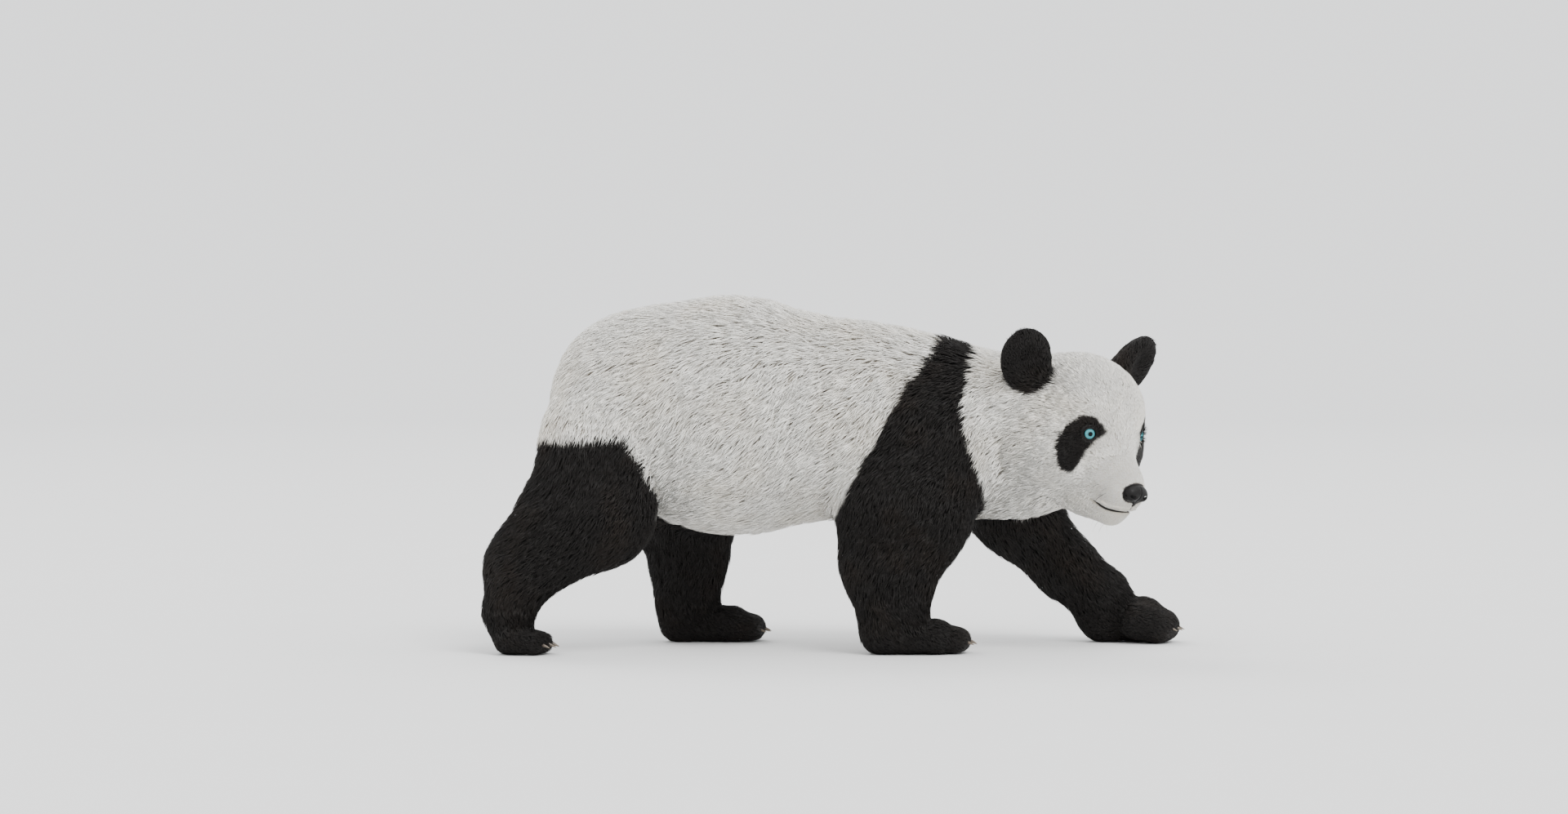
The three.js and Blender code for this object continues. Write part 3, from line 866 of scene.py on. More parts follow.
# The fur's root colours, darker than its tips, are painted shade between the tufts.
WHITE_TIP = (0.93, 0.91, 0.86)
WHITE_ROOT_PAINTED_SHADE = (0.80, 0.74, 0.64)
WHITE_STAIN = (0.85, 0.78, 0.66)
BLACK_TIP = (0.013, 0.011, 0.010)
BLACK_ROOT_PAINTED_SHADE = (0.005, 0.0045, 0.004)
BLACK_RUST = (0.032, 0.021, 0.014)
# The pale hide is its own buff, kept darker than the white fur as painted shade between the tufts.
HIDE_BUFF_SHADED, HIDE_CREAM_SHADED = (0.66, 0.60, 0.50), (0.78, 0.72, 0.62)
HIDE_BLACK, HIDE_BROWN = (0.006, 0.005, 0.005), (0.014, 0.012, 0.011)
LIP_BLACK = (0.012, 0.010, 0.010)
IRIS_DEEP, IRIS_BRIGHT = (0.035, 0.24, 0.28), (0.12, 0.47, 0.52)
NOSE_BLACK, NOSE_BROWN = (0.003, 0.0027, 0.0026), (0.008, 0.007, 0.0068)
LID_BLACK, LID_BROWN = (0.006, 0.005, 0.005), (0.016, 0.013, 0.012)
HORN_ROOT, HORN_MIDDLE, HORN_TIP = (0.02, 0.016, 0.013), (0.09, 0.068, 0.05), (0.26, 0.21, 0.155)
HORN_STAIN = (0.05, 0.04, 0.03)
BRISTLE_BLACK, BRISTLE_BROWN = (0.02, 0.017, 0.014), (0.12, 0.10, 0.08)
FLOOR_GREY, FLOOR_PALE = (0.80, 0.80, 0.795), (0.82, 0.82, 0.815)


def coat_material():
    """Fur: darker from tip to root as painted shade between the tufts, stained in places, each lock a little
    different, and darker in the cheek's fold as painted shade.
    """
    n = Nodes("coat_fur")
    along, shade, black = n.attribute("along"), n.attribute("shade"), n.attribute("black")
    stain = n.ramp(n.noise(7.0, 4.0), [(0.45, 0.0), (0.75, 0.55)])
    tip = n.mix(stain, WHITE_TIP, WHITE_STAIN)
    # Painted shade: the white fur darkens from its tip down to its root.
    white = n.mix(n.ramp(along, [(0.0, 0.0), (0.55, 1.0)]), WHITE_ROOT_PAINTED_SHADE, tip)
    rust = n.ramp(n.noise(9.0, 3.0), [(0.5, 0.0), (0.8, 0.6)])
    dark_tip = n.mix(rust, BLACK_TIP, BLACK_RUST)
    # Painted shade: the black fur darkens from its tip down to its root.
    dark = n.mix(n.ramp(along, [(0.1, 0.0), (0.8, 1.0)]), BLACK_ROOT_PAINTED_SHADE, dark_tip)
    both = n.mix(black, white, dark)
    # Each lock's random tone, with painted shade in the cheek's fold, darkens the fur's colour.
    lock = n.ramp(shade, [(0.0, 0.62), (0.3, 0.84), (1.0, 1.0)])
    n.colour(n.mix(1.0, both, lock, blend="MULTIPLY"))
    n.roughness(n.ramp(black, [(0.0, 0.82), (1.0, 0.58)]))
    n.set(Specular_IOR_Level=0.25)
    n.bump(n.noise(900.0, 2.0), 0.25, 0.0006)
    return n.material


def skin_material():
    """Hide under the fur, in the coat's own markings, with dark lips; under the white fur it is its own buff,
    kept darker than the fur as painted shade between the tufts.
    """
    n = Nodes("hide")
    black, lips = n.attribute("black"), n.attribute("lips")
    # Painted shade: the pale hide is darker than the white fur, so the gaps between tufts read as shade.
    light = n.mix(n.noise(60.0, 4.0), HIDE_BUFF_SHADED, HIDE_CREAM_SHADED)
    dark = n.mix(n.noise(80.0, 4.0), HIDE_BLACK, HIDE_BROWN)
    coat = n.mix(black, light, dark)
    n.colour(n.mix(lips, coat, LIP_BLACK))
    n.roughness(n.ramp(n.noise(120.0, 3.0), [(0.3, 0.72), (0.7, 0.9)]))
    n.bump(n.noise(700.0, 3.0), 0.5, 0.0008)
    return n.material


def eye_material():
    """A wet eye: black pupil, blue-green iris with fine rays, dark rim and brown white."""
    n = Nodes("wet_eye")
    polar, around = n.attribute("polar"), n.attribute("around")
    rays = n.add("ShaderNodeTexNoise", noise_dimensions="1D")
    rays.inputs["Scale"].default_value = 26.0
    rays.inputs["Detail"].default_value = 3.0
    n.link(around, rays.inputs["W"])
    ray = n.ramp(rays.outputs["Fac"], [(0.3, IRIS_DEEP), (0.7, IRIS_BRIGHT)])
    rings = n.ramp(polar, [
        (0.0, (0.002, 0.002, 0.002)),
        (0.195, (0.002, 0.002, 0.002)),
        (0.215, (0.45, 0.45, 0.45)),
        (0.36, (1.0, 1.0, 1.0)),
        (0.52, (0.8, 0.8, 0.8)),
        (0.58, (0.03, 0.03, 0.03)),
        (0.75, (0.05, 0.035, 0.03)),
    ])
    n.colour(n.mix(1.0, ray, rings, blend="MULTIPLY"))
    n.set(Roughness=0.4, Specular_IOR_Level=0.05, Coat_Weight=0.45, Coat_Roughness=0.03, Coat_IOR=1.3)
    return n.material


def nose_material():
    """Moist black skin with a pebbled grain."""
    n = Nodes("nose_leather")
    cells = n.add("ShaderNodeTexVoronoi")
    cells.inputs["Scale"].default_value = 620.0
    place = n.add("ShaderNodeTexCoord")
    n.link(place.outputs["Object"], cells.inputs["Vector"])
    n.colour(n.mix(n.noise(90.0, 3.0), NOSE_BLACK, NOSE_BROWN))
    n.roughness(n.ramp(n.noise(160.0, 2.0), [(0.3, 0.34), (0.7, 0.52)]))
    n.set(Specular_IOR_Level=0.14, Coat_Weight=0.05, Coat_Roughness=0.2)
    n.bump(n.math("MULTIPLY", cells.outputs["Distance"], -1.0), 0.6, 0.0007)
    return n.material


def lid_material():
    """Moist, dark and finely wrinkled skin."""
    n = Nodes("eyelid_skin")
    n.colour(n.mix(n.noise(300.0, 3.0), LID_BLACK, LID_BROWN))
    n.set(Roughness=0.5, Specular_IOR_Level=0.15, Coat_Weight=0.1, Coat_Roughness=0.2)
    n.bump(n.noise(900.0, 2.0), 0.4, 0.0004)
    return n.material


def claw_material():
    """Horn: dark at its root and worn pale at its tip, with fine lengthwise grain."""
    n = Nodes("claw_horn")
    horn = n.ramp(n.attribute("along"), [(0.2, HORN_ROOT), (0.6, HORN_MIDDLE), (1.0, HORN_TIP)])
    n.colour(n.mix(n.math("MULTIPLY", n.noise(260.0, 4.0), 0.5), horn, HORN_STAIN))
    n.roughness(n.ramp(n.noise(200.0, 2.0), [(0.3, 0.28), (0.7, 0.42)]))
    n.bump(n.noise(1200.0, 2.0), 0.2, 0.0003)
    return n.material


def whisker_material():
    """Stiff dark bristle."""
    n = Nodes("whisker")
    n.colour(n.mix(n.noise(40.0, 2.0), BRISTLE_BLACK, BRISTLE_BROWN))
    n.set(Roughness=0.4)
    return n.material


# ---------- the skin ----------

BODY_LOW, BODY_HIGH = np.array((-790, -275, -14)), np.array((810, 275, 805))
SKIN_CELL = 8.5
SOLE_HEIGHT = 1.0


def finer(piece, chosen):
    """Splits the chosen faces of a mesh in four; chosen takes face centres in millimetres."""
    mesh = bmesh.new()
    mesh.from_mesh(piece.data)
    centres = np.array([face.calc_center_median() for face in mesh.faces])
    wanted = chosen((centres - SHIFT) / MM)
    edges = {edge for face, want in zip(mesh.faces, wanted) if want for edge in face.edges}
    bmesh.ops.subdivide_edges(mesh, edges=list(edges), cuts=1, use_grid_fill=True)
    uneven = [face for face in mesh.faces if len(face.verts) > 4]
    bmesh.ops.triangulate(mesh, faces=uneven)
    mesh.to_mesh(piece.data)
    mesh.free()


def points_of(piece):
    """A piece's vertices in the field's millimetres."""
    co = np.empty(len(piece.data.vertices) * 3, np.float32)
    piece.data.vertices.foreach_get("co", co)
    return (co.reshape(-1, 3).astype(float) - SHIFT) / MM


def put_points(piece, p):
    piece.data.vertices.foreach_set("co", to_frame(p).astype(np.float32).ravel())
    piece.data.update()


def is_detailed(p):
    """The face, ears and feet."""
    h = head.local(p)
    on_face = (h[:, 0] > 35) & (np.linalg.norm(h, axis=1) < 300)
    on_ear = np.zeros(len(p), bool)
    for ear in ears.values():
        on_ear |= np.linalg.norm(ear.local(h) - (0, 0, 30), axis=1) < 82
    return on_face | on_ear | (p[:, 2] < 105)


def is_finest(p):
    """Round the eyes, and the end of the muzzle."""
    h = head.local(p)
    fine = (h[:, 0] > 150) & (h[:, 2] > -140) & (np.abs(h[:, 1]) < 90)
    for eye in eyes.values():
        fine |= np.linalg.norm(h - eye.at, axis=1) < 32
    return fine


def make_skin(material):
    vertices, quads = surface_net(skin_field, BODY_LOW, BODY_HIGH, SKIN_CELL)
    vertices = settled(skin_field, vertices, SKIN_CELL, coat_depth)
    skin = mesh_object("skin", vertices, quads)
    for chosen, most in ((is_detailed, 4.0), (is_finest, 2.0)):
        finer(skin, chosen)
        p = points_of(skin)
        moving = chosen(p)
        p[moving] = settled(skin_field, p[moving], most, coat_depth)
        put_points(skin, p)
    p = points_of(skin)
    p[:, 2] = np.maximum(p[:, 2], SOLE_HEIGHT)
    put_points(skin, p)
    set_attribute(skin, "black", blackness(p))
    h = head.local(p)
    set_attribute(skin, "lips", dark_skin(h))
    skin.data.polygons.foreach_set("use_smooth", np.ones(len(skin.data.polygons), bool))
    flesh = [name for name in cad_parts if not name.startswith(("eye", "claw", "nose"))]
    return finish_piece(skin, material, flesh)


# ---------- the coat ----------

class Roots:
    """Where tufts grow: points, the skin's normals there, and the coat at each."""

    def __init__(self, points, normals):
        self.p, self.n = points, normals
        coat, grain = coat_at(points)
        self.depth, self.length, self.width, self.density = coat.T
        level = grain - (grain * normals).sum(axis=1)[:, None] * normals
        self.lie = unit(level)

    def only(self, chosen):
        """These roots where chosen is true."""
        part = copy(self)
        for key, value in vars(self).items():
            setattr(part, key, value[chosen])
        return part


def skin_triangles(skin):
    """(corner points, corner normals) of the skin's triangles, in millimetres."""
    mesh = skin.data
    mesh.calc_loop_triangles()
    corners = np.empty(len(mesh.loop_triangles) * 3, np.int32)
    mesh.loop_triangles.foreach_get("vertices", corners)
    normals = np.empty(len(mesh.vertices) * 3, np.float32)
    mesh.vertex_normals.foreach_get("vector", normals)
    normals = normals.reshape(-1, 3).astype(float)
    corners = corners.reshape(-1, 3)
    return points_of(skin)[corners], normals[corners]


def dark_skin(h):
    """Where the face's bare skin is black: the lips, and round the nose."""
    lips = smooth(0.5, 1.4, mouth_groove(h))
    nose = 1 - smooth(2.5, 5, nose_pad(h))
    return np.maximum(lips, nose)


def is_bare(p):
    """Where no fur grows: soles, eye openings, lips and under the nose."""
    h = head.local(p)
    bare = p[:, 2] < 5
    bare |= mouth_groove(h) > 1.5
    for eye in eyes.values():
        bare |= np.linalg.norm(h - eye.at, axis=1) < EYE["radius"] + 2
    return bare | (nose_pad(h) < 0.4)


def scatter(skin, rng):
    """Roots spread over the skin, as many as the coat has at each place."""
    corners, normals = skin_triangles(skin)
    centres = corners.mean(axis=1)
    cross = np.cross(corners[:, 1] - corners[:, 0], corners[:, 2] - corners[:, 0])
    area = np.linalg.norm(cross, axis=1) / 2
    wanted = area / 100 * coat_at(centres, with_grain=False)[0][:, 3]
    number = np.floor(wanted + rng.random(len(wanted))).astype(int)
    owner = np.repeat(np.arange(len(number)), number)
    a, b = rng.random((2, len(owner)))
    flip = a + b > 1
    a[flip], b[flip] = 1 - a[flip], 1 - b[flip]
    shares = np.column_stack([1 - a - b, a, b])[:, :, None]
    p = (corners[owner] * shares).sum(axis=1)
    n = unit((normals[owner] * shares).sum(axis=1))
    keep = ~is_bare(p)
    return Roots(p[keep], n[keep])


# How a cell's three place numbers are stirred into its four random ones.
STIR = np.array([(127.1, 269.5, 419.2, 71.3), (311.7, 183.3, 371.9, 231.7), (74.7, 246.1, 85.5, 173.9)])


def cell_noise(p, size, seed):
    """Four even random numbers that all points in one cell of space share."""
    cell = np.floor(p / size + 0.37 * seed)
    mixed = cell @ STIR
    return np.abs(np.sin(mixed + seed) * 43758.5453) % 1


# The fold between cheek and neck: its ends in the head's X and Z, its bow, its reach, and how much lower its
# tufts lie and how much darker they are painted as shade.
CREASE = dict(top=(-7, -44), bottom=(9, -105), bow=4, reach=7, deep=0.8)

# How much of a tuft's turn, length and height comes from where it stands, from the lock and the
# clump that it grows in, and from chance. Turns are in radians, and the rest are shares.
TURN = dict(place=0.30, lock=0.42, chance=0.22)
LENGTH = dict(least=0.72, lock=0.30, clump=0.16, chance=0.22)
HEIGHT = dict(least=0.55, lock=0.33, chance=0.22)
LOCK_TONE = dict(least=0.35, lock=0.4, clump=0.25, chance=0.15)
LOCK_SIZE, CLUMP_SIZE = 15, 46


def crease_share(p):
    """1 in the fold between cheek and neck, where the coat lies low and its tufts are painted darker as
    shade, and 0 away from it.
    """
    h = head.local(p)
    top, bottom = np.array(CREASE["top"]), np.array(CREASE["bottom"])
    line = bottom - top
    q = h[:, [0, 2]] - top
    t = np.clip(q @ line / (line @ line), 0, 1)
    bowed = t[:, None] * line - np.column_stack([CREASE["bow"] * np.sin(np.pi * t), 0 * t])
    off = np.linalg.norm(q - bowed, axis=1)
    return np.exp(-((off / CREASE["reach"]) ** 2)) * (np.abs(h[:, 1]) > 90)


def tuft_paths(roots, rng, shares):
    """Points along each tuft, from root to tip, and its flat side's direction.

    A tuft rises from the skin and then lies along it, level with its neighbours: each point is
    moved to its own height between the skin and the coat's outside.
    """
    count = len(roots.p)
    lock = cell_noise(roots.p + 9 * np.column_stack([ripple(roots.p, 17)] * 3), LOCK_SIZE, 3)
    clump = cell_noise(roots.p, CLUMP_SIZE, 5)
    aside = np.cross(roots.n, roots.lie)
    turn = TURN["place"] * ripple(roots.p, 60) + TURN["lock"] * (lock[:, 0] - 0.5)
    turn = turn + TURN["chance"] * rng.standard_normal(count)
    lie = unit(roots.lie + turn[:, None] * aside)
    aside = np.cross(roots.n, lie)
    longer = LENGTH["least"] + LENGTH["lock"] * lock[:, 1] + LENGTH["clump"] * clump[:, 1]
    length = roots.length * (longer + LENGTH["chance"] * rng.random(count))
    height = HEIGHT["least"] + HEIGHT["lock"] * lock[:, 2] + HEIGHT["chance"] * rng.random(count)
    height *= 1 - CREASE["deep"] * crease_share(roots.p)
    rows = [roots.p - 0.8 * roots.n]
    for share in shares:
        rise = np.minimum(1, height * (1 - (1 - share) ** 2.2))
        reach = length * share
        point = roots.p + lie * reach[:, None] + roots.n * (roots.depth * rise * 0.8)[:, None]
        value = animal(point)
        slope = slope_of(animal, point, value)
        steep = np.maximum((slope ** 2).sum(axis=1), 0.2)
        aim = -roots.depth * (1 - rise)
        move = slope * ((aim - value) / steep)[:, None]
        far = np.linalg.norm(move, axis=1)
        limit = np.minimum(1, 0.5 * roots.depth / np.maximum(far, 1e-9))
        point = point + move * limit[:, None]
        point[:, 2] = np.maximum(point[:, 2], 0.6)
        rows.append(point)
    return np.stack(rows, axis=1), aside, lock, clump


def tuft_faces(rings):
    """The triangles of a tuft with corners numbered from its root, ring by ring, to its tip."""
    faces = [(0, 2, 1), (0, 3, 2), (0, 1, 3)]
    for ring in range(rings - 1):
        low, high = 1 + 3 * ring, 4 + 3 * ring
        for i in range(3):
            j = (i + 1) % 3
            faces += [(low + i, low + j, high + j), (low + i, high + j, high + i)]
    last = 1 + 3 * (rings - 1)
    tip = last + 3
    faces += [(last + i, last + (i + 1) % 3, tip) for i in range(3)]
    return np.array(faces)


# How far along a tuft its marking is read, and the corners of its rings: across and up, as shares of
# half its width.
SEEN_AT = 0.6
RING = ((-1, -0.25), (1, -0.25), (0, 0.55))


def tuft_mesh(name, roots, unwrap, rng, shares, widths):
    """One coat piece: closed locks of three flat sides, with a point at each end."""
    paths, aside, lock, clump = tuft_paths(roots, rng, shares)
    count, rings = len(roots.p), len(shares) - 1
    along = unit(paths[:, -1] - paths[:, 0])
    over = np.cross(along, aside)
    over *= np.sign((over * roots.n).sum(axis=1))[:, None]
    width = roots.width * (0.75 + 0.5 * rng.random(count))
    columns, reach = [paths[:, 0]], [np.zeros(count)]
    patch = [np.zeros((count, 2))]
    for ring in range(rings):
        centre = paths[:, ring + 1]
        half = (width * widths[ring] / 2)[:, None]
        for across, up in RING:
            columns.append(centre + aside * half * across + over * half * up)
            reach.append(np.full(count, shares[ring]))
            patch.append(np.tile((across * 0.5, shares[ring] - 0.5), (count, 1)))
    columns.append(paths[:, -1])
    reach.append(np.ones(count))
    patch.append(np.tile((0, 0.5), (count, 1)))
    vertices = np.stack(columns, axis=1)
    vertices[..., 2] = np.maximum(vertices[..., 2], 0)
    faces = tuft_faces(rings)
    root, b, c = vertices[:, 0], vertices[:, 1], vertices[:, 2]
    turned_in = np.einsum("ij,ij->i", np.cross(b - root, c - root), vertices[:, 3] - root).mean() < 0
    if turned_in:
        faces = faces[:, ::-1]
    per = vertices.shape[1]
    all_faces = (faces[None] + per * np.arange(count)[:, None, None]).reshape(-1, 3)
    piece = mesh_object(name, vertices.reshape(-1, 3), all_faces)
    tone = blackness(paths[:, 0] * (1 - SEEN_AT) + paths[:, -1] * SEEN_AT)
    shade = LOCK_TONE["least"] + LOCK_TONE["lock"] * lock[:, 3] + LOCK_TONE["clump"] * clump[:, 3]
    shade = np.clip(shade + LOCK_TONE["chance"] * rng.standard_normal(count), 0.3, 1)
    # Painted shade: tufts in the fold between cheek and neck are darkened, as well as lying lower.
    shade *= 1 - CREASE["deep"] * crease_share(roots.p)
    set_attribute(piece, "along", np.stack(reach, axis=1).ravel())
    set_attribute(piece, "black", np.repeat(tone, per))
    set_attribute(piece, "shade", np.repeat(shade, per))
    lay_patches(piece, unwrap(roots.p), np.stack(patch, axis=1), per)
    return piece


# The size of a tuft's patch in its piece's map, as a share of the map's side.
PATCH = 0.003


def lay_patches(piece, place, patch, per):
    """The map for the finish: each tuft is a small patch at its root's place."""
    spread = place.max(axis=0) - place.min(axis=0)
    place = 0.01 + 0.98 * (place - place.min(axis=0)) / np.maximum(spread, 1e-9)
    uv = (np.repeat(place[:, None], per, axis=1) + PATCH * patch).reshape(-1, 2)
    layer = piece.data.uv_layers.new(name="OFBake")
    corner = np.empty(len(piece.data.loops), np.int32)
    piece.data.loops.foreach_get("vertex_index", corner)
    layer.data.foreach_set("uv", uv[corner].astype(np.float32).ravel())


def round_axis(origin, axis, start):
    """An unwrap along an axis and round it: the seam is opposite start."""
    axis, start = unit(axis), np.array(start, float)
    first = unit(start - (start @ axis) * axis)
    second = np.cross(axis, first)

    def unwrap(p):
        d = p - np.array(origin)
        return np.column_stack([d @ axis, np.arctan2(d @ second, d @ first)])

    return unwrap


def from_front(place, to_local=lambda p: p):
    """An unwrap as a disc, spread from a frame's ahead axis."""
    def unwrap(p):
        d = unit(place.local(to_local(p)))
        polar = np.arccos(np.clip(d[:, 0], -1, 1))
        around = np.arctan2(d[:, 2], d[:, 1])
        return np.column_stack([polar * np.cos(around), polar * np.sin(around)])

    return unwrap


# Where the coat pieces of a paw and of a leg end, in height.
PAW_TOP, LEG_TOP = 110, 330


def coat_regions(roots):
    """Each coat piece: its name, which roots it has, and how its skin is unwrapped."""
    p = roots.p
    h = head.local(p)
    in_head = (skull_mass(h) < 12) & (h[:, 0] > -118)
    free = np.ones(len(p), bool)
    regions = []

    def take(name, mask, unwrap):
        chosen = mask & free
        free[chosen] = False
        regions.append((name, chosen, unwrap))

    for side, word in ((1, "left"), (-1, "right")):
        e = ears[side].local(h)
        on_ear = (ear_mass(e) < 6) & (e[:, 2] > -22)
        take(f"coat_ear_{word}", on_ear, from_front(ears[side], head.local))
    take("coat_face_right", in_head & (h[:, 0] > 70) & (h[:, 1] < 0), from_front(head))
    take("coat_face_left", in_head & (h[:, 0] > 70), from_front(head))
    take("coat_head", in_head, from_front(head))
    for name, leg in LEGS.items():
        side = leg["side"]
        near = np.min([mass(p) for mass in bone_masses[name]] + [paw_masses[name](p)], axis=0) < 12
        on_leg = near & (p[:, 1] * side > 0)
        top, foot = (np.multiply(leg["joints"][end], (1, side, 1)) for end in (0, -1))
        on_floor = foot * (1, 1, 0)
        take(f"coat_paw_{name}", on_leg & (p[:, 2] < PAW_TOP), round_axis(on_floor, (0, 0, 1), (1, 0, 0)))
        take(f"coat_leg_{name}", on_leg & (p[:, 2] < LEG_TOP), round_axis(top, foot - top, (1, 0, 0)))
    back = round_axis((0, 0, 505), (1, 0, 0), (0, 0, 1))
    take("coat_neck", p[:, 0] > 250, back)
    take("coat_shoulders", p[:, 0] > 30, back)
    take("coat_barrel_right", (p[:, 0] > -330) & (p[:, 1] < 0), back)
    take("coat_barrel_left", p[:, 0] > -330, back)
    take("coat_rump_right", p[:, 1] < 0, back)
    take("coat_rump_left", p[:, 1] >= 0, back)
    return regions


LONG_TUFT = dict(shares=(0.3, 0.66, 1.0), widths=(1.0, 0.72))
SHORT_TUFT = dict(shares=(0.45, 1.0), widths=(1.0,))

# The mean length from which a piece's tufts are long ones, with one ring more.
LONG_FROM = 38


def make_coat(skin, material):
    rng = np.random.default_rng(SEED)
    roots = scatter(skin, rng)
    for name, chosen, unwrap in coat_regions(roots):
        part = roots.only(chosen)
        shape = LONG_TUFT if part.length.mean() > LONG_FROM else SHORT_TUFT
        piece = tuft_mesh(name, part, unwrap, rng, **shape)
        black = blackness(part.p + part.lie * part.length[:, None] * SEEN_AT).mean() > 0.5
        finish_piece(piece, material)
        print(name, len(part.p), "tufts", len(piece.data.polygons), "triangles")


# ---------- eyes ----------

CORNEA = dict(swell=0.055, reach=0.75)
EYE_RINGS, EYE_SECTORS = 48, 64


def make_eye(side, material):
    """An eyeball with a cornea that swells a little in front of the iris."""
    word = "left" if side > 0 else "right"
    eye = eyes[side]
    rings, sectors = EYE_RINGS, EYE_SECTORS
    polar = np.linspace(0, np.pi, rings + 1)
    around = np.linspace(0, 2 * np.pi, sectors, endpoint=False)
    swell = 1 + CORNEA["swell"] * (1 - smooth(0.0, CORNEA["reach"], polar))
    points, polar_of, around_of = [], [], []
    for k, angle in enumerate(polar):
        turns = around if 0 < k < rings else [0.0]
        for turn in turns:
            out = (np.cos(angle), np.sin(angle) * np.cos(turn), np.sin(angle) * np.sin(turn))
            points.append(np.array(out) * EYE["radius"] * swell[k])
            polar_of.append(angle / np.pi * 2)
            around_of.append(np.sin(turn * 7) * 0.35 + np.cos(turn * 11) * 0.3 + np.cos(turn) * 1.1)

    def start(ring):
        return 1 + (ring - 1) * sectors

    faces = []
    for i in range(sectors):
        j = (i + 1) % sectors
        faces.append((0, start(1) + i, start(1) + j))
        for k in range(1, rings - 1):
            faces.append((start(k) + i, start(k + 1) + i, start(k + 1) + j))
            faces.append((start(k) + i, start(k + 1) + j, start(k) + j))
        faces.append((start(rings - 1) + i, len(points) - 1, start(rings - 1) + j))
    piece = mesh_object(f"eyeball_{word}", head.world(eye.world(points)), np.array(faces))
    set_attribute(piece, "polar", polar_of)
    set_attribute(piece, "around", around_of)
    return finish_piece(piece, material, [f"eye_{word}"])


# The lids' opening and their hidden outer edge are in degrees from where the eye looks, and the
# lids' thickness and their clearance from the eyeball in millimetres.
LID = dict(half_width=66, above=45, below=52, power=1.7, tilt=-8, outer=98, thick=2.0, clear=0.12)
LID_SECTORS, LID_STEPS = 96, 10


def make_lids(side, material):
    """Upper and lower lid in one closed ring, from the opening's rim out under the skin."""
    word = "left" if side > 0 else "right"
    eye = eyes[side]
    sectors = LID_SECTORS
    around = np.linspace(0, 2 * np.pi, sectors, endpoint=False)
    turn = around - np.radians(LID["tilt"]) * side
    half_height = np.where(np.sin(turn) > 0, LID["above"], LID["below"])
    power = LID["power"]
    flat = np.abs(np.cos(turn) / LID["half_width"]) ** power + np.abs(np.sin(turn) / half_height) ** power
    rim = flat ** (-1 / power)
    inner = EYE["radius"] * 1.02 + LID["clear"]
    ring_points = []
    shares = np.linspace(0, 1, LID_STEPS)
    thickness = LID["thick"] * (0.35 + 1.1 * np.sin(np.pi * np.minimum(shares * 2.2, 1)) * (1 - 0.6 * shares))
    profile = [(s, inner + t) for s, t in zip(shares, thickness)] + [(s, inner) for s in shares[::-1]]
    for share, radius in profile:
        polar = np.radians(rim + (LID["outer"] - rim) * share)
        d = np.column_stack([np.cos(polar), np.sin(polar) * np.cos(around), np.sin(polar) * np.sin(around)])
        ring_points.append(d * radius)
    points = np.concatenate(ring_points)
    faces = []
    for k in range(len(profile)):
        here, after = k * sectors, (k + 1) % len(profile) * sectors
        for i in range(sectors):
            j = (i + 1) % sectors
            faces.append((here + i, after + i, after + j, here + j))
    piece = mesh_object(f"eyelids_{word}", head.world(eye.world(points)), np.array(faces))
    return finish_piece(piece, material)


# ---------- nose ----------

# The nose's masses, and its left nostril's hole and slit, in the head's frame. The right nostril
# and wing are mirrored.
NOSE_TOP = ((218, 0, -53), (19, 29, 17))
NOSE_WING = ((220, 17, -60), (17, 14, 13))
NOSE_FOOT = ((219, 0, -61), 9, (223, 0, -77), 5)
NOSTRIL = dict(
    hole=((241, 10, -59), 4.6, (229, 22, -57), 3.4),
    slit=((231, 22, -57), 3.2, (217, 33, -61), 1.6),
)
NOSE_BLEND = dict(pad=9, nostril=3, rim=2.5)
NOSE_GROOVE = dict(depth=1.6, width=1.6, front=(222, 233))
NOSE_BOX = ((191, -40, -89), (247, 40, -29))
NOSE_CELL = 1.25


def nose_pad(h):
    """The bare nose in the head's frame: a broad pad with two comma-shaped nostrils."""
    wings = [egg(np.multiply(NOSE_WING[0], (1, side, 1)), NOSE_WING[1]) for side in (1, -1)]
    solid = flow(NOSE_BLEND["pad"], [egg(*NOSE_TOP), *wings, limb(*NOSE_FOOT)])(h)
    for side in (1, -1):
        opening = [
            limb(np.multiply(start, (1, side, 1)), start_radius, np.multiply(end, (1, side, 1)), end_radius)
            for start, start_radius, end, end_radius in NOSTRIL.values()
        ]
        solid = -soft_min(-solid, flow(NOSE_BLEND["nostril"], opening)(h), NOSE_BLEND["rim"])
    groove = NOSE_GROOVE["depth"] * np.exp(-((h[:, 1] / NOSE_GROOVE["width"]) ** 2))
    return solid + groove * smooth(*NOSE_GROOVE["front"], h[:, 0])


def make_nose(material):
    vertices, quads = surface_net(nose_pad, *NOSE_BOX, NOSE_CELL)
    vertices = settled(nose_pad, vertices, 1.2)
    piece = mesh_object("nose_pad", head.world(vertices), quads)
    return finish_piece(piece, material, ["nose"])


# ---------- claws ----------

def claw_points(toe, rings, sides):
    """Rings of a curved, tapered hook, from inside the toe to its tip."""
    ahead = toe["ahead"]
    aside = np.array((-ahead[1], ahead[0], 0))
    rows, along = [], []
    for r in range(rings + 1):
        t = r / rings
        reach = t * CLAW["length"] - CLAW["length"] * CLAW["rooted"]
        centre = toe["claw"] + ahead * reach - (0, 0, CLAW["drop"] * t * t)
        thick = CLAW["radius"] * (1 - CLAW["taper"] * t ** 2.2)
        for i in range(sides):
            turn = 2 * np.pi * i / sides
            keel = 1 + CLAW["keel"] * np.cos(2 * turn)
            across = aside * CLAW["flat"] * thick * keel * np.cos(turn)
            rows.append(centre + across + (0, 0, thick * np.sin(turn)))
            along.append(t)
    return rows, along


CLAW_RINGS, CLAW_SIDES = 12, 14


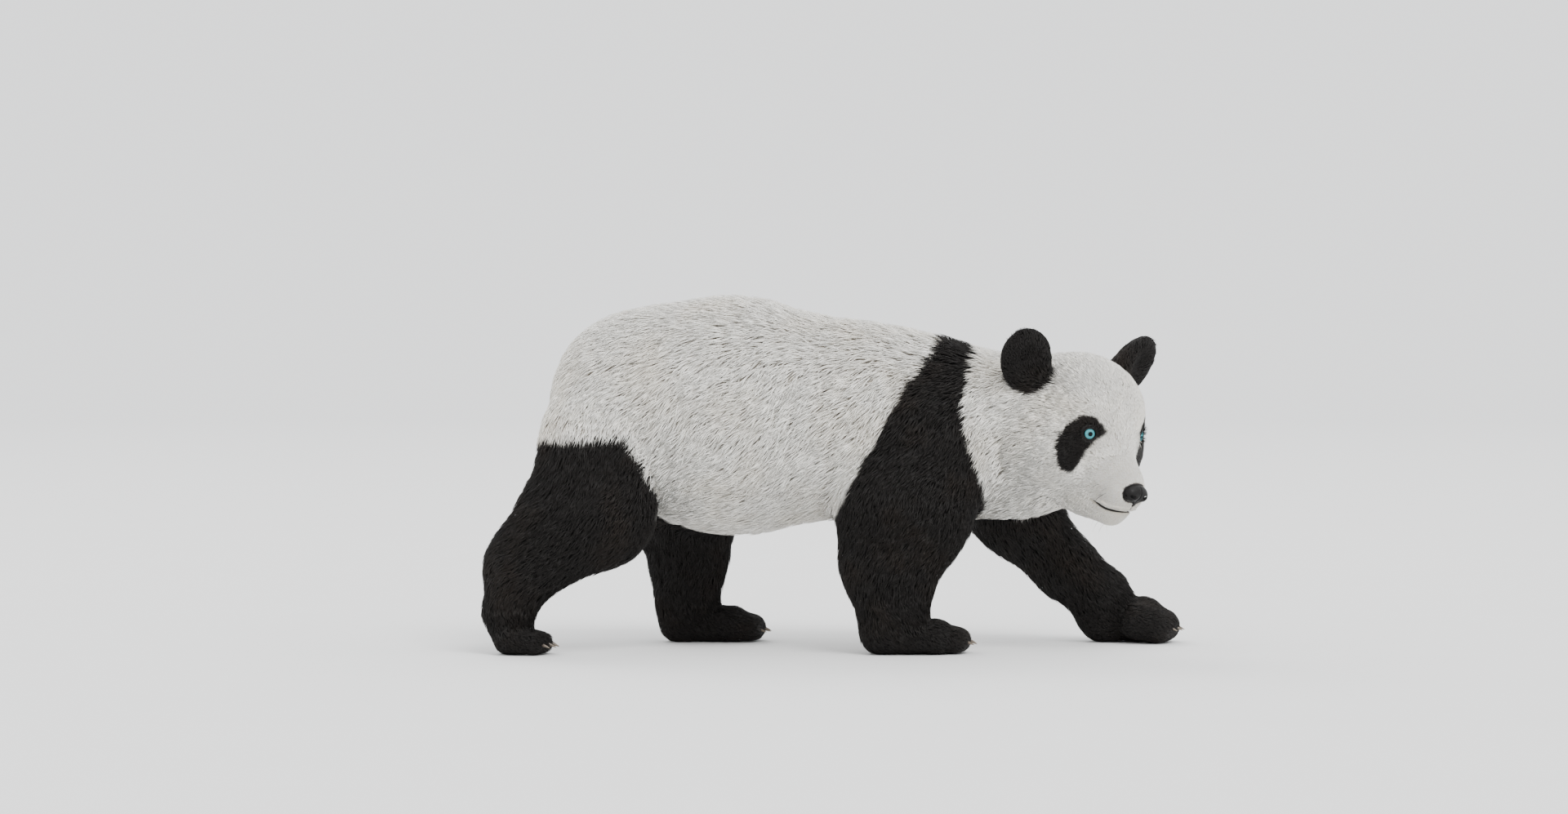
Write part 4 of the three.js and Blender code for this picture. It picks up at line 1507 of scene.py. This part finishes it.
def make_claws(name, leg, material):
    """The five claws of a foot, closed at their roots and tips."""
    rings, sides = CLAW_RINGS, CLAW_SIDES
    points, along, faces = [], [], []
    for toe in toes_of(leg):
        base = len(points)
        rows, shares = claw_points(toe, rings, sides)
        points += [*rows, np.mean(rows[:sides], axis=0), np.mean(rows[-sides:], axis=0)]
        along += [*shares, 0.0, 1.0]
        root, tip = base + len(rows), base + len(rows) + 1
        for i in range(sides):
            j = (i + 1) % sides
            faces.append((root, base + j, base + i))
            for r in range(rings):
                a, b = base + r * sides, base + (r + 1) * sides
                faces += [(a + i, a + j, b + j), (a + i, b + j, b + i)]
            last = base + rings * sides
            faces.append((tip, last + i, last + j))
    piece = mesh_object(f"claws_{name}", np.array(points), np.array(faces))
    set_attribute(piece, "along", along)
    nodes = [f"claw_{name}_{i + 1}" for i in range(TOES)]
    return finish_piece(piece, material, nodes)


# ---------- whiskers ----------

WHISKERS = {"Bristles per square metre": 6500.0, "Length": 0.030, "Thickness": 0.00038, "Droop": 0.35}
WHISKER_SIDES = 5
WHISKER_STEPS = 6

# Where whiskers grow, in the head's frame: from and to along X and along Z, and then how far out
# from the face's middle.
LIP_WHISKERS = ((158, 196), (-90, -62), (20, 400))
CHIN_WHISKERS = ((150, 178), (-400, -122), (-1, 16))


def whisker_tree(material):
    """Bristles spread over a patch of skin, each a thin cone that bends along its length."""
    group = bpy.data.node_groups.new("whiskers", "GeometryNodeTree")
    group.interface.new_socket("Skin", in_out="INPUT", socket_type="NodeSocketGeometry")
    names = {}
    for name in WHISKERS:
        socket = group.interface.new_socket(name, in_out="INPUT", socket_type="NodeSocketFloat")
        names[name] = socket.identifier
    names["Seed"] = group.interface.new_socket("Seed", in_out="INPUT", socket_type="NodeSocketInt").identifier
    group.interface.new_socket("Whiskers", in_out="OUTPUT", socket_type="NodeSocketGeometry")
    t = Tree(group)
    sizes = t.add("NodeGroupInput").outputs

    cone = t.add("GeometryNodeMeshCone")
    cone.inputs["Vertices"].default_value = WHISKER_SIDES
    cone.inputs["Side Segments"].default_value = WHISKER_STEPS
    t.put(cone.inputs["Radius Bottom"], sizes["Thickness"])
    t.put(cone.inputs["Radius Top"], t.math("MULTIPLY", sizes["Thickness"], 0.15))
    t.put(cone.inputs["Depth"], sizes["Length"])
    place = t.add("ShaderNodeSeparateXYZ")
    t.link(t.add("GeometryNodeInputPosition").outputs["Position"], place.inputs["Vector"])
    risen = t.math("DIVIDE", t.math("MULTIPLY", place.outputs["Z"], place.outputs["Z"]), sizes["Length"])
    bend = t.add("ShaderNodeCombineXYZ")
    t.put(bend.inputs["X"], t.math("MULTIPLY", risen, sizes["Droop"]))
    bent = t.add("GeometryNodeSetPosition")
    t.link(cone.outputs["Mesh"], bent.inputs["Geometry"])
    t.link(bend.outputs["Vector"], bent.inputs["Offset"])

    spread = t.add("GeometryNodeDistributePointsOnFaces")
    t.link(sizes["Skin"], spread.inputs["Mesh"])
    t.link(sizes["Bristles per square metre"], spread.inputs["Density"])
    t.link(sizes["Seed"], spread.inputs["Seed"])
    lie = t.add("GeometryNodeInputNamedAttribute", data_type="FLOAT_VECTOR")
    lie.inputs["Name"].default_value = "lie"
    heading = t.add("ShaderNodeVectorMath", operation="ADD")
    t.link(spread.outputs["Normal"], heading.inputs[0])
    t.link(lie.outputs["Attribute"], heading.inputs[1])
    upright = t.add("FunctionNodeAlignRotationToVector", axis="Z")
    t.link(heading.outputs["Vector"], upright.inputs["Vector"])
    drooping = t.add("FunctionNodeAlignRotationToVector", axis="X", pivot_axis="Z")
    t.link(upright.outputs["Rotation"], drooping.inputs["Rotation"])
    drooping.inputs["Vector"].default_value = (0, 0, -1)
    size = t.add("FunctionNodeRandomValue", data_type="FLOAT")
    size.inputs[2].default_value, size.inputs[3].default_value = 0.55, 1.15
    t.link(sizes["Seed"], size.inputs["Seed"])
    placed = t.add("GeometryNodeInstanceOnPoints")
    t.link(spread.outputs["Points"], placed.inputs["Points"])
    t.link(bent.outputs["Geometry"], placed.inputs["Instance"])
    t.link(drooping.outputs["Rotation"], placed.inputs["Rotation"])
    t.link(size.outputs[1], placed.inputs["Scale"])

    real = t.add("GeometryNodeRealizeInstances")
    t.link(placed.outputs["Instances"], real.inputs["Geometry"])
    dressed = t.add("GeometryNodeSetMaterial")
    dressed.inputs["Material"].default_value = material
    t.link(real.outputs["Geometry"], dressed.inputs["Geometry"])
    t.link(dressed.outputs["Geometry"], t.add("NodeGroupOutput").inputs["Whiskers"])
    return group, names


def whisker_pads(skin):
    """The patches of skin that bear whiskers: both sides of the upper lip, and the chin."""
    corners, _ = skin_triangles(skin)
    h = head.local(corners.mean(axis=1))
    places = (h[:, 0], h[:, 2], np.abs(h[:, 1]))
    bearing = np.zeros(len(h), bool)
    for ranges in (LIP_WHISKERS, CHIN_WHISKERS):
        bearing |= np.all([(low < at) & (at < high) for (low, high), at in zip(ranges, places)], axis=0)
    chosen = corners[bearing]
    faces = np.arange(len(chosen) * 3).reshape(-1, 3)
    pads = mesh_object("whisker_pads", chosen.reshape(-1, 3), faces)
    h = head.local(chosen.reshape(-1, 3))
    lie = head.turn(np.column_stack([-0.35 + 0 * h[:, 0], np.sign(h[:, 1]) * 0.7, -0.35 + 0 * h[:, 2]]))
    layer = pads.data.attributes.new("lie", "FLOAT_VECTOR", "POINT")
    layer.data.foreach_set("vector", lie.astype(np.float32).ravel())
    return pads


def make_whiskers(skin, material):
    pads = whisker_pads(skin)
    group, names = whisker_tree(material)
    grower = pads.modifiers.new("whiskers", "NODES")
    grower.node_group = group
    for name, value in WHISKERS.items():
        grower[names[name]] = value
    grower[names["Seed"]] = SEED
    grown = pads.evaluated_get(bpy.context.evaluated_depsgraph_get())
    mesh = bpy.data.meshes.new_from_object(grown)
    pads.modifiers.remove(grower)
    bpy.data.objects.remove(pads)
    whiskers = bpy.data.objects.new("whiskers", mesh)
    bpy.context.scene.collection.objects.link(whiskers)
    return finish_piece(whiskers, material)


# ---------- stage, light and camera ----------

WORLD_LIGHT = 1.7
AIR_COLOUR = (0.98, 0.99, 1.0, 1)
SUN_LIGHT = 2.1
SUN_SPREAD = 28
FLOOR_SIZE = 120

# Where the floor begins and ends to turn into air, as shares of the way to its edge.
FLOOR_FADE = (0.06, 0.4)


def floor_material():
    """Pale and matt, and as bright as the air behind it where it is far off, so no edge shows."""
    n = Nodes("pale_floor")
    place = n.add("ShaderNodeTexCoord")
    length = n.add("ShaderNodeVectorMath", operation="LENGTH")
    n.link(place.outputs["Object"], length.inputs[0])
    n.colour(n.mix(n.noise(3.0, 3.0), FLOOR_GREY, FLOOR_PALE))
    n.set(Roughness=0.9, Specular_IOR_Level=0.1)
    air = n.add("ShaderNodeEmission")
    air.inputs["Color"].default_value = AIR_COLOUR
    air.inputs["Strength"].default_value = WORLD_LIGHT
    reach = n.math("DIVIDE", length.outputs["Value"], FLOOR_SIZE / 2)
    far = n.ramp(reach, [(FLOOR_FADE[0], (0, 0, 0)), (FLOOR_FADE[1], (1, 1, 1))])
    blend = n.add("ShaderNodeMixShader")
    n.link(far, blend.inputs[0])
    n.link(n.shader.outputs["BSDF"], blend.inputs[1])
    n.link(air.outputs["Emission"], blend.inputs[2])
    n.link(blend.outputs["Shader"], n.output.inputs["Surface"])
    return n.material


def make_floor():
    bpy.ops.mesh.primitive_plane_add(size=FLOOR_SIZE, location=(0, 0, 0))
    floor = bpy.context.object
    floor.name = "floor"
    floor.data.materials.append(floor_material())
    floor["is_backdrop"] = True


def aim(thing, target):
    direction = Vector(target) - thing.location
    thing.rotation_euler = direction.to_track_quat("-Z", "Y").to_euler()


def make_sun(name, location, strength):
    """Broad, even light from far off, so that the floor is as bright as what lies behind it."""
    data = bpy.data.lights.new(name, "SUN")
    data.energy, data.angle = strength, np.radians(SUN_SPREAD)
    lamp = bpy.data.objects.new(name, data)
    lamp.location = location
    bpy.context.scene.collection.objects.link(lamp)
    aim(lamp, (0, 0, 0))


def make_lights():
    world = bpy.data.worlds.new("studio")
    world.use_nodes = True
    world.node_tree.nodes["Background"].inputs["Color"].default_value = AIR_COLOUR
    world.node_tree.nodes["Background"].inputs["Strength"].default_value = WORLD_LIGHT
    bpy.context.scene.world = world
    make_sun("sun_front", (0.55, -0.9, 1.25), SUN_LIGHT)
    make_sun("sun_back", (-0.5, 1.0, 1.1), SUN_LIGHT * 0.45)


CAMERA = dict(distance=8.0, elevation=1.0, lens=83.33, aim=(-105, 0, 531))


def make_camera():
    data = bpy.data.cameras.new("camera")
    data.sensor_width = 36
    data.lens = CAMERA["lens"]
    camera = bpy.data.objects.new("camera", data)
    target = Vector(to_frame(CAMERA["aim"]))
    elevation = np.radians(CAMERA["elevation"])
    back = Vector((0, -np.cos(elevation), np.sin(elevation)))
    camera.location = target + back * CAMERA["distance"]
    bpy.context.scene.collection.objects.link(camera)
    aim(camera, target)
    bpy.context.scene.camera = camera


# ---------- all of it ----------

make_camera()
make_floor()
make_lights()

skin = make_skin(skin_material())
make_coat(skin, coat_material())
lid_skin, wet_eye = lid_material(), eye_material()
for side in (1, -1):
    make_eye(side, wet_eye)
    make_lids(side, lid_skin)
make_nose(nose_material())
make_whiskers(skin, whisker_material())
horn = claw_material()
for name, leg in LEGS.items():
    make_claws(name, leg, horn)

sizes = {"cad": cad_box, "visual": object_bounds()}
{key: [[float(n) for n in corner] for corner in box] for key, box in sizes.items()}
